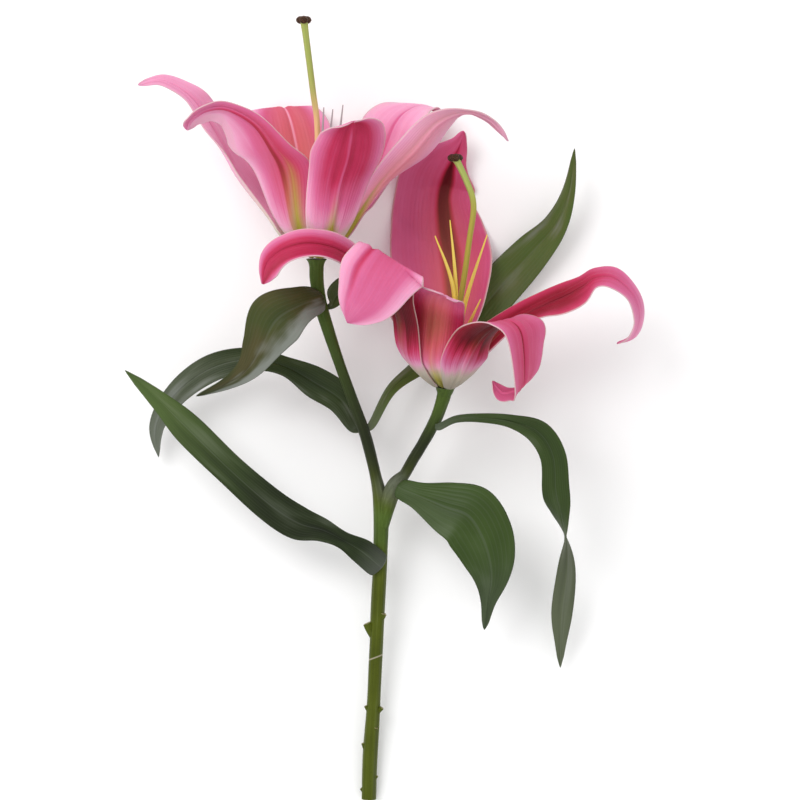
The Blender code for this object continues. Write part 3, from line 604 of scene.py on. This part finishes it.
def leaf_surface(name, hues, look, under):
    """One face of a leaf: faint parallel veins under a satin skin with a grey bloom and painted sheen in
    places.
    """
    finish = Finish(name)
    spread, off_rib, share, side = finish.blade_place()
    place = finish.place()
    stripes = finish.drawn_out(spread, 50.0, 1.5, 4.0)
    drift = finish.drawn_out(spread, 2.2, 4.0, 2.0)
    clouds = finish.noise(place, 26.0, 3.0) - 0.5
    grain = finish.noise(place, 2600.0, 2.0)
    veins = finish.math("SINE", side * (math.tau * 13.0) + stripes * 2.0)

    green = hues.leaf_under if under else hues.leaf
    hue = finish.mix((0.45 + clouds * 1.5 + drift) * look.olive, green, hues.olive)
    brightness = finish.step(share + drift * 0.15, 0.60, 0.95, look.shade, look.tip)
    hue = finish.tinted(hue, brightness + stripes * 0.25 + drift * 0.8)
    # patches of grey wax bloom and painted sheen, kept towards one side by the look's side
    bloom_and_sheen = drift * 1.6 + clouds * 0.6 + stripes * 0.2 + (side - 0.5) * (2.0 * look.side)
    bloom_and_sheen = finish.step(bloom_and_sheen, 0.0, 0.5) * look.waxy
    bloom_and_sheen = bloom_and_sheen + finish.step(share + drift * 0.2, 0.55, 1.0) * look.frost
    bloom_and_sheen = bloom_and_sheen + (1.0 - finish.step(share, 0.05, 0.24)) * look.foot
    hue = finish.mix(bloom_and_sheen, hue, hues.waxy)
    hue = finish.mix(finish.step(veins, 0.5, 1.0) * 0.05, hue, hues.waxy)
    midrib = 1.0 - finish.step(off_rib, 0.01, 0.07)
    hue = finish.mix(midrib * 0.12, hue, hues.waxy)
    hue = finish.mix(finish.step(off_rib, 0.93, 1.0) * 0.2, hue, shaded(hues.leaf, 0.3))
    return finish.set(
        base_color=hue, roughness=(0.55 if under else 0.40) + 0.25 * clouds, specular_ior_level=0.18,
        normal=finish.bump(veins * 0.25 + stripes * 0.9 + grain * 0.25, 0.10),
    )


def blade_rim(name, hue, roughness):
    """The thin edge of a blade."""
    finish = Finish(name)
    mottle = finish.noise(finish.place(), 260.0)
    return finish.set(base_color=finish.mix(mottle, shaded(hue, 0.8), hue), roughness=roughness)


def stem_surface(name, hues):
    """Softly ridged green skin, darker above the fork, with a pale scar low down and fine freckles."""
    finish = Finish(name)
    place = finish.place()
    x, y = finish.parts(place, 0, 1)
    streaks, _ = finish.tube_streaks(3.5, 5.0)
    clouds = finish.noise(place, 45.0, 3.0) - 0.5
    freckles = finish.noise(place, 1500.0, 1.0)
    fork = to_world((0, FORK, 0)).y
    upper = finish.step(y + clouds * 0.02, fork - 8 * MM, fork + 25 * MM)
    hue = finish.mix(upper, hues.stem, hues.stem_dark)
    for point, reach in ((LEFT_BLOOM.base, 95.0), (RIGHT_BLOOM.base, 34.0), (FORK_SHEATH[0][:3], 18.0)):
        hue = finish.mix(finish.near(place, point, 6.0, reach), hue, hues.stem_fresh)
    # grey wax bloom on the web of the fork, with a painted highlight on it
    hue = finish.mix(finish.near(place, FORK_SHEATH[2][:3], 4.0, 13.0) * 0.30, hue, hues.waxy)
    hue = finish.tinted(hue, 1.0 + streaks * 1.1 + clouds * 0.8)
    hue = finish.mix(finish.step(streaks + clouds * 0.5, 0.05, 0.4) * 0.15, hue, hues.waxy)
    hue = finish.mix(finish.step(freckles, 0.62, 0.74) * 0.35, hue, shaded(hues.stem_dark, 0.5))
    scar = to_world(SCAR)
    off_scar = abs(y - scar.y - (x - scar.x) * 0.38)
    hue = finish.mix((1.0 - finish.step(off_scar, 0.15 * MM, 0.55 * MM)) * 0.45, hue, hues.cream)
    return finish.set(
        base_color=hue, roughness=0.45 + 0.3 * clouds, specular_ior_level=0.14,
        normal=finish.bump(streaks * 1.5 + freckles * 0.3, 0.25),
    )


def scar_surface(name, hues):
    """The dry face where a leaf was pulled off."""
    finish = Finish(name)
    mottle = finish.noise(finish.place(), 900.0, 4.0)
    hue = finish.mix(finish.step(mottle, 0.35, 0.65), hues.scar_dark, hues.scar_pale)
    return finish.set(base_color=hue, roughness=0.8, normal=finish.bump(mottle, 0.3))


def cut_surface(name, hues):
    """The cut end of the stem: wet pith in a green ring, with its bundles."""
    finish = Finish(name)
    place = finish.place()
    mottle = finish.noise(place, 500.0, 3.0)
    bundles = finish.cells(place, 1100.0)
    hue = finish.mix(finish.near(place, MAIN_STEM[0][:3], 2.4, 3.4), hues.stem, hues.pith)
    hue = finish.mix((1.0 - finish.step(bundles, 0.1, 0.3)) * 0.6, hue, shaded(hues.pith, 0.45))
    return finish.set(base_color=hue, roughness=0.3 + 0.2 * mottle, normal=finish.bump(mottle, 0.2))


def style_surface(name, hues, foot):
    """Ribbed green ovary that passes into a yellow green style. The colour of its foot is given; on the
    older bloom it is a painted highlight.
    """
    finish = Finish(name)
    streaks, share = finish.tube_streaks(2.0, 5.0)
    grain = finish.noise(finish.place(), 1200.0, 3.0)
    hue = finish.mix(finish.step(share, 0.62, 0.86), foot, hues.style)
    return finish.set(
        base_color=finish.tinted(hue, 1.0 + streaks * 0.8), roughness=0.4 + 0.2 * streaks,
        specular_ior_level=0.25, normal=finish.bump(streaks * 2.0 + grain * 0.4, 0.15),
    )


def stigma_surface(name, hues):
    """Dark sticky papillae, paler on their tops."""
    finish = Finish(name)
    cells = finish.cells(finish.place(), 1900.0)
    patches = finish.noise(finish.place(), 420.0, 3.0)
    hue = finish.mix(finish.step(cells, 0.15, 0.6), shaded(hues.stigma, 2.4), shaded(hues.stigma, 0.5))
    hue = finish.mix(finish.step(patches, 0.45, 0.65) * 0.5, hue, shaded(hues.stigma, 1.6))
    return finish.set(
        base_color=hue, roughness=0.4 + 0.3 * cells, specular_ior_level=0.2,
        normal=finish.bump(1.0 - cells, 0.35),
    )


def filament_surface(name, hues, dry):
    """Bright straw yellow with painted cream highlights in streaks, greener at the foot, and dried at the
    ends on the older bloom.
    """
    finish = Finish(name)
    streaks, share = finish.tube_streaks(1.5, 6.0, 3.0)
    hue = finish.mix(finish.step(share, 0.0, 0.4), hues.wedge, hues.filament)
    # painted highlights: streaks of pale cream along the filaments
    hue = finish.mix(0.05 + streaks * 1.2, hue, hues.cream)
    hue = finish.mix(finish.step(share + streaks * 0.1, 0.5, 0.75) * dry, hue, hues.dry_tip)
    return finish.set(
        base_color=hue, roughness=0.45 + 0.2 * streaks, specular_ior_level=0.15,
        normal=finish.bump(streaks, 0.1),
    )


# ---- meshes
def add_grid(shape, across, along):
    """A grid 1 wide and 1 long about the origin, in shape, with its own UV map. Returns its vertices."""
    spread = shape.loops.layers.uv.get("UVMap") or shape.loops.layers.uv.new("UVMap")
    made = bmesh.ops.create_grid(shape, x_segments=across, y_segments=along, size=0.5)["verts"]
    for face in {face for vertex in made for face in vertex.link_faces}:
        for loop in face.loops:
            loop[spread].uv = (loop.vert.co.x + 0.5, loop.vert.co.y + 0.5)
    return made


def add_piece(name, shape, materials):
    """The object that holds what was made in shape."""
    mesh = bpy.data.meshes.new(name)
    shape.to_mesh(mesh)
    shape.free()
    for material in materials:
        mesh.materials.append(material)
    piece = bpy.data.objects.new(name, mesh)
    bpy.context.scene.collection.objects.link(piece)
    return piece


def settle(piece, node):
    """Puts a finished piece in the place of its CAD node."""
    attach(piece, BODY)
    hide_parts(node)


# ---- blades: leaves and tepals
def along_ribs(ribs, share):
    """The rib at this share of the way along, on a smooth curve through all of them."""
    place = share * (len(ribs) - 1)
    start = min(int(place), len(ribs) - 2)
    t = place - start
    before, here, there, after = (ribs[min(max(start + step, 0), len(ribs) - 1)] for step in (-1, 0, 1, 2))
    rib = []
    for a, b, c, d in zip(before, here, there, after):
        rib.append(b + 0.5 * t * (c - a + t * (2 * a - 5 * b + 4 * c - d + t * (3 * (b - c) + d - a))))
    return rib


def carried_frames(ribs, facing, steps, window=1, start=0):
    """(rib, direction, face direction) at each step along a line. The face direction is the given one at
    the start step, and is carried from there without twist. The direction is taken over this window."""
    rows = [along_ribs(ribs, step / steps) for step in range(steps + 1)]
    points = [Vector(row[:3]) for row in rows]
    directions, faces = [], {start: Vector(facing)}
    for step in range(steps + 1):
        ahead = points[min(step + window, steps)] - points[max(step - window, 0)]
        directions.append(ahead.normalized())
    for step in (*range(start, steps + 1), *range(start - 1, -1, -1)):
        near = faces.get(step) or faces[step - 1 if step > start else step + 1]
        faces[step] = (near - directions[step] * near.dot(directions[step])).normalized()
    return [(rows[step], directions[step], faces[step]) for step in range(steps + 1)]


def bell(value, middle, width):
    return math.exp(-(((value - middle) / width) ** 2))


def clamped(value):
    return min(1.0, max(0.0, value))


def tip_taper(share):
    """Draws the last stretch of a blade to a point."""
    return TIP_WIDTH + (1 - TIP_WIDTH) * math.sqrt(clamped((1.0 - share) / TIP_SHARE))


def blade_point(blade_frame, share, side, wave, relief, rest):
    """A point of the blade: share goes from base to tip, and side from -1 to 1 across it."""
    rib, direction, carried = blade_frame
    face = Matrix.Rotation(math.radians(rib[4]), 3, direction) @ carried
    cup = math.radians(rib[5])
    half = rib[3] * (1 + rib[6] * math.copysign(min(1.0, abs(side) * 8), side)) * tip_taper(share)
    across, lift = half * side, 0.0
    if abs(cup) > 0.01:
        across = half / cup * math.sin(cup * side)
        lift = half / cup * (1 - math.cos(cup * side))
    height, count, phase = wave
    turned = math.tau * count * share + phase + (side > 0) * math.pi * 0.7
    ruffle = height * (math.sin(turned) + 0.2 * math.sin(3.1 * turned + side))
    lift += ruffle * abs(side) ** 3 * max(0.0, share - RUFFLE_START) / (1 - RUFFLE_START)
    lift += relief(side) * math.sqrt(math.sin(math.pi * clamped(share)))
    point = Vector(rib[:3]) + direction.cross(face) * across + face * lift
    point.z = max(point.z, rest)
    return point


def tepal_relief(settings, shift):
    """A tepal's central groove, the swellings beside it and its fine veins, in millimetres."""
    groove, vein = settings.tepal_groove / MM, settings.vein_height / MM

    def relief(side):
        off_rib = abs(side - shift)
        swelling = SWELLING * bell(off_rib, 0.18, 0.1)
        return swelling - groove * bell(off_rib, 0.0, 0.08) + vein * math.cos(math.tau * TEPAL_VEINS * side)

    return relief


def leaf_relief(settings):
    """A leaf's keel and parallel veins, in millimetres."""
    vein = settings.vein_height / MM

    def relief(side):
        return -KEEL_DEPTH * bell(side, 0.0, 0.1) + vein * math.cos(math.tau * LEAF_VEINS * side)

    return relief


def leaf_foot(ribs):
    """A rib in the core of the stem, from which the leaf comes."""
    first, second = Vector(ribs[0][:3]), Vector(ribs[1][:3])
    start = first + (first - second).normalized() * LEAF_REACH
    core = [
        Vector(low[:3]).lerp(Vector(high[:3]), step / 10)
        for line in (MAIN_STEM, RIGHT_PEDICEL) for low, high in zip(line, line[1:]) for step in range(11)
    ]
    foot = min(core, key=lambda point: (point - start).length)
    return (*foot, ribs[0][3] * LEAF_NARROWING, *ribs[0][4:])


def throat_ribs(bloom, angle, whorl):
    """The ribs where a tepal leaves the receptacle, wrapped round the bloom's axis."""
    out = WHORL_OFFSET if whorl == "outer" else -WHORL_OFFSET
    ribs = []
    for height, radius, half in THROAT:
        around = radius + out
        point = bloom.point(angle, height, around)
        ribs.append((*point, half, 0, math.degrees(half / around) * THROAT_WRAP))
    return ribs


def add_blade(name, ribs, facing, wave, relief, thickness, settings, materials, window, foot=None):
    """A leaf or tepal: a fine grid laid along its ribs, thinner towards its edges. A foot is one more rib
    before them. The direction is taken over this window of steps."""
    full = [(*rib, 0)[:7] for rib in ([foot] if foot else []) + list(ribs)]
    before = 1 if foot else 0
    start = round(FRAME_STEPS * before / (len(full) - 1))
    frames = carried_frames(full, facing, FRAME_STEPS, window, start)
    rest = thickness / MM / 2
    shape = bmesh.new()
    add_grid(shape, settings.across, FRAME_STEPS)
    thin = shape.verts.layers.deform.new()
    for vertex in shape.verts:
        side, share = 2 * vertex.co.x, vertex.co.y + 0.5
        blade_frame = frames[round(share * FRAME_STEPS)]
        own_share = (share * (len(full) - 1) - before) / (len(full) - 1 - before)
        vertex[thin][0] = (1.0 - (1.0 - settings.edge_share) * side * side) * tip_taper(own_share)
        vertex.co = to_world(blade_point(blade_frame, own_share, side, wave, relief, rest))
    blade = add_piece(name, shape, materials)
    blade.data.shade_smooth()
    blade.vertex_groups.new(name="thickness")
    wall = blade.modifiers.new("wall", "SOLIDIFY")
    wall.thickness = thickness
    wall.offset = 0
    wall.vertex_group = "thickness"
    wall.material_offset = 1
    wall.material_offset_rim = 2
    return blade


# ---- tubes: stem, pistils and filaments
def add_tube(shape, line, sides, steps, swell):
    """A closed tube along (x, y, z, radius) points, made in shape. swell(angle, share) scales its radius.
    Returns its two caps."""
    frames = carried_frames(line, UP, steps)
    made = add_grid(shape, sides, steps)
    for vertex in made:
        angle, share = math.tau * (vertex.co.x + 0.5), vertex.co.y + 0.5
        (x, y, z, radius), direction, face = frames[round(share * steps)]
        out = direction.cross(face) * math.cos(angle) + face * math.sin(angle)
        point = Vector((x, y, z)) + out * radius * swell(angle, share)
        point.z = max(point.z, 0.0)
        vertex.co = to_world(point)
    bmesh.ops.remove_doubles(shape, verts=made, dist=0.001 * MM)
    rims = [edge for edge in shape.edges if edge.is_boundary]
    return bmesh.ops.holes_fill(shape, edges=rims, sides=0)["faces"]


def add_knob(shape, centre):
    """One lobe of the stigma, made in shape. Returns its faces."""
    made = bmesh.ops.create_uvsphere(
        shape, u_segments=KNOB_SEGMENTS, v_segments=KNOB_RINGS, radius=LOBE_RADIUS * MM
    )["verts"]
    bmesh.ops.scale(shape, vec=LOBE_SQUASH, verts=made)
    for vertex in made:
        vertex.co *= 1 + 0.06 * noise.noise(vertex.co * 1400)
    bmesh.ops.translate(shape, vec=to_world(centre), verts=made)
    return {face for vertex in made for face in vertex.link_faces}


def add_ring(shape, bloom):
    """The ring that the filaments grow from, made in shape."""
    profile = bmesh.ops.create_circle(
        shape, cap_ends=False, segments=RING_SIDES, radius=RING_THICKNESS * MM
    )["verts"]
    bmesh.ops.rotate(shape, verts=profile, matrix=Matrix.Rotation(math.pi / 2, 3, "X"))
    bmesh.ops.translate(shape, verts=profile, vec=(RING_RADIUS * MM, 0, 0))
    bmesh.ops.spin(
        shape, geom=shape.verts[:] + shape.edges[:], cent=(0, 0, 0), axis=UP,
        angle=math.tau, steps=RING_STEPS, use_merge=True,
    )
    bmesh.ops.remove_doubles(shape, verts=shape.verts, dist=0.01 * MM)
    turn = bloom.axis.to_track_quat("Z", "Y").to_matrix().to_4x4()
    place = Matrix.Translation(to_world(bloom.point(0, RING_HEIGHT, 0))) @ turn
    bmesh.ops.transform(shape, matrix=place, verts=shape.verts)


def finish_tubes(name, shape, materials):
    """The object that holds the tubes in shape."""
    bmesh.ops.recalc_face_normals(shape, faces=shape.faces)
    made = add_piece(name, shape, materials)
    made.data.shade_smooth()
    made.data.set_sharp_from_angle(angle=math.radians(50))
    return made


def stem_centre(y):
    """The main stem's centre line at this distance from the cut end."""
    for low, high in zip(MAIN_STEM, MAIN_STEM[1:]):
        if low[1] <= y <= high[1]:
            share = (y - low[1]) / (high[1] - low[1])
            return Vector(low[:3]).lerp(Vector(high[:3]), share)
    return Vector(MAIN_STEM[0][:3])


def stem_swell(angle, share):
    """Low ridges and slow swellings of a stem."""
    ridges = 0.03 * math.cos(5 * angle + 1.5 * math.sin(4 * share)) + 0.012 * math.cos(11 * angle)
    slow = 0.06 * noise.noise(Vector((math.cos(angle), math.sin(angle), 14 * share)))
    return 0.99 + ridges + slow


def plain_swell(angle, share):
    return 1.0


def stub_swell(angle, share):
    """A leaf's foot: flat, and ragged at its end."""
    return 1 + 0.16 * math.cos(2 * angle) + 0.1 * share * math.sin(5 * angle)


def style_swell(angle, share):
    """A six-ribbed ovary, and a three-sided style that widens under the stigma."""
    ovary = 1 - clamped(share / 0.3)
    flare = 0.25 * clamped((share - 0.93) / 0.07) ** 2
    slim = 0.16 * math.sin(math.pi * clamped(share))
    return 1 + 0.06 * math.cos(6 * angle) * ovary + 0.03 * math.cos(3 * angle) - slim + flare


def filament_swell(angle, share):
    return 1 + 0.14 * math.cos(2 * angle)


# ---- the steps that dress the lily
class LILY_OT_stem(bpy.types.Operator):
    """Add the forked stem with the feet of the leaves picked off it"""

    bl_idname = "lily.stem"
    bl_label = "Stem"

    def execute(self, context):
        sides, hues = context.scene.lily_shape.round_stem, context.scene.lily_colours
        shape = bmesh.new()
        cut, _ = add_tube(shape, MAIN_STEM, sides, STEM_STEPS, stem_swell)
        cut.material_index = 2
        add_tube(shape, RIGHT_PEDICEL, sides, PEDICEL_STEPS, stem_swell)
        add_tube(shape, FORK_SHEATH, sides, SHEATH_STEPS, plain_swell)
        for x, y, z, radius, reach in LEAF_STUBS:
            root = stem_centre(y - reach)
            full = root.lerp(Vector((x, y, z)), STUB_SWELL)
            line = ((*root, radius * STUB_ROOT), (*full, radius), (x, y, z, radius))
            for cap in add_tube(shape, line, STUB_SIDES, STUB_STEPS, stub_swell):
                cap.material_index = 1
        skin, scar = stem_surface("stem_green", hues), scar_surface("leaf_scar", hues)
        stem = finish_tubes("stem_skin", shape, (skin, scar, cut_surface("stem_cut", hues)))
        settle(stem, "stem")
        return {"FINISHED"}


class LILY_OT_leaves(bpy.types.Operator):
    """Add the seven leaves"""

    bl_idname = "lily.leaves"
    bl_label = "Leaves"

    def execute(self, context):
        settings, hues = context.scene.lily_shape, context.scene.lily_colours
        rim = blade_rim("leaf_edge", hues.leaf_under, 0.5)
        for name, ribs, wave, row in LEAVES:
            look = LeafLook(*row)
            upper = leaf_surface(name + "_upper", hues, look, False)
            under = leaf_surface(name + "_under", hues, look, True)
            leaf = add_blade(
                name + "_blade", ribs, UP, wave, leaf_relief(settings), settings.leaf_thickness, settings,
                (upper, under, rim), LEAF_WINDOW, leaf_foot(ribs),
            )
            settle(leaf, name)
        return {"FINISHED"}


class LILY_OT_tepals(bpy.types.Operator):
    """Add the three outer and three inner tepals of each bloom"""

    bl_idname = "lily.tepals"
    bl_label = "Tepals"

    def execute(self, context):
        settings, hues = context.scene.lily_shape, context.scene.lily_colours
        rim = blade_rim("tepal_edge", [0.5 * (a + b) for a, b in zip(hues.cream, hues.pale)], 0.55)
        for bloom, name, whorl, angle, ribs, wave, rows in TEPALS:
            node = f"{bloom.name}_tepal_{name}"
            tint_in, tint_out = (Tint(*row) for row in rows)
            # painted shade for the feet of this bloom's tepals
            shade = PAINTED_FOOT_SHADES[bloom.name]
            inside = tepal_surface(node + "_inside", hues, tint_in, WEDGE_REACH[0], shade)
            outside = tepal_surface(node + "_outside", hues, tint_out, WEDGE_REACH[1], shade)
            relief = tepal_relief(settings, tint_in.shift or tint_out.shift)
            tepal = add_blade(
                node + "_blade", throat_ribs(bloom, angle, whorl) + list(ribs), -bloom.outward(angle), wave,
                relief, settings.tepal_thickness, settings, (inside, outside, rim), TEPAL_WINDOW,
            )
            settle(tepal, node)
        return {"FINISHED"}


class LILY_OT_pistils(bpy.types.Operator):
    """Add each bloom's ovary, style and three-lobed stigma"""

    bl_idname = "lily.pistils"
    bl_label = "Pistils"

    def execute(self, context):
        hues = context.scene.lily_colours
        stigma = stigma_surface("stigma_brown", hues)
        # the older bloom's style foot is given a painted highlight colour, the younger one's its own yellow
        # green
        for bloom, foot in ((LEFT_BLOOM, hues.style_foot), (RIGHT_BLOOM, hues.wedge)):
            materials = (style_surface(f"{bloom.name}_style", hues, foot), stigma)
            line = [(*bloom.point(0, OVARY_FOOT, 0), OVARY_RADIUS)]
            line.append((*bloom.point(0, OVARY_LENGTH * 0.5, 0), OVARY_RADIUS))
            line.append((*bloom.point(0, OVARY_LENGTH, 0), STYLE_RADIUS))
            line += [(*point, STYLE_RADIUS) for point in STYLES[bloom.name]]
            shape = bmesh.new()
            add_tube(shape, line, PISTIL_SIDES, PISTIL_STEPS, style_swell)
            tip = Vector(STYLES[bloom.name][-1])
            for lobe in range(LOBES):
                turned = math.radians(90 + 360 / LOBES * lobe)
                out = Vector((math.cos(turned), 0, math.sin(turned)))
                for face in add_knob(shape, tip + out * LOBE_OFFSET):
                    face.material_index = 1
            pistil = finish_tubes(f"{bloom.name}_pistil_skin", shape, materials)
            settle(pistil, f"{bloom.name}_pistil")
        return {"FINISHED"}


class LILY_OT_stamens(bpy.types.Operator):
    """Add the bare filaments of each bloom and the ring that they grow from"""

    bl_idname = "lily.stamens"
    bl_label = "Stamens"

    def execute(self, context):
        for bloom in (LEFT_BLOOM, RIGHT_BLOOM):
            shape = bmesh.new()
            add_ring(shape, bloom)
            for middle, tip in FILAMENTS[bloom.name]:
                first = Vector(middle) - bloom.base
                angle = math.degrees(math.atan2(first.dot(bloom.back), first.dot(bloom.right)))
                leaning = bloom.point(angle, FILAMENT_RISE, RING_RADIUS + FILAMENT_LEAN)
                line = (
                    (*bloom.point(angle, RING_HEIGHT, RING_RADIUS), RING_THICKNESS),
                    (*leaning, FILAMENT_RADIUS), (*middle, FILAMENT_RADIUS), (*tip, FILAMENT_TIP),
                )
                add_tube(shape, line, FILAMENT_SIDES, FILAMENT_STEPS, filament_swell)
            name = f"{bloom.name}_filament"
            straw = filament_surface(name, context.scene.lily_colours, DRIED[bloom.name])
            settle(finish_tubes(name + "s", shape, (straw,)), f"{bloom.name}_stamens")
        return {"FINISHED"}


class LILY_OT_stage(bpy.types.Operator):
    """Add the pale table, the soft light and the camera that looks down on the flower"""

    bl_idname = "lily.stage"
    bl_label = "Stage"

    def execute(self, context):
        scene, stage = context.scene, context.scene.lily_stage
        finish = Finish("table_top")
        speckle = finish.noise(finish.place(), 900.0, 2.0)
        pale = finish.set(base_color=stage.table, roughness=0.7 + 0.1 * speckle)
        shape = bmesh.new()
        bmesh.ops.create_grid(shape, x_segments=1, y_segments=1, size=stage.table_width / 2)
        add_piece("table_top", shape, (pale,))

        world = bpy.data.worlds.new("soft_sky")
        world.use_nodes = True
        sky = world.node_tree.nodes["Background"]
        sky.inputs["Color"].default_value = (1.0, 1.0, 1.0, 1.0)
        sky.inputs["Strength"].default_value = stage.sky
        scene.world = world
        scene.view_settings.view_transform = "Standard"

        lamp = bpy.data.lights.new("key", "AREA")
        lamp.shape = "DISK"
        lamp.size = LAMP_SIZE
        lamp.energy = stage.key
        key = bpy.data.objects.new("key", lamp)
        key.location = LAMP_PLACE
        key.rotation_mode = "QUATERNION"
        key.rotation_quaternion = (-key.location).to_track_quat("-Z", "Y")
        scene.collection.objects.link(key)

        lens = bpy.data.cameras.new("camera")
        lens.type = "PERSP"
        lens.lens = stage.camera_lens
        lens.sensor_width = SENSOR_WIDTH
        lens.clip_end = FARTHEST
        camera = bpy.data.objects.new("camera", lens)
        camera.location = to_world(AIM) + Vector((0, 0, stage.camera_height))
        scene.collection.objects.link(camera)
        scene.camera = camera
        return {"FINISHED"}


class LILY_PT_panel(bpy.types.Panel):
    """Lists the steps that dress the lily"""

    bl_idname = "LILY_PT_panel"
    bl_label = "Cut Lily"
    bl_space_type = "VIEW_3D"
    bl_region_type = "UI"
    bl_category = "Lily"

    def draw(self, context):
        for group in GROUPS:
            settings = getattr(context.scene, group)
            box = self.layout.box()
            for name in settings.__annotations__:
                box.prop(settings, name)
        for step in STEPS:
            self.layout.operator(step.bl_idname)


STEPS = (LILY_OT_stage, LILY_OT_stem, LILY_OT_leaves, LILY_OT_tepals, LILY_OT_pistils, LILY_OT_stamens)
GROUPS = {"lily_shape": LilyShape, "lily_colours": LilyColours, "lily_stage": LilyStage}


def register():
    for made in (*GROUPS.values(), *STEPS, LILY_PT_panel):
        bpy.utils.register_class(made)
    for name, group in GROUPS.items():
        setattr(bpy.types.Scene, name, bpy.props.PointerProperty(type=group))


def unregister():
    for name in GROUPS:
        delattr(bpy.types.Scene, name)
    for made in (LILY_PT_panel, *reversed(STEPS), *reversed(GROUPS.values())):
        bpy.utils.unregister_class(made)


def main():
    register()
    bpy.ops.lily.stage()
    bpy.ops.lily.stem()
    bpy.ops.lily.leaves()
    bpy.ops.lily.tepals()
    bpy.ops.lily.pistils()
    bpy.ops.lily.stamens()


if __name__ == "__main__":
    main()
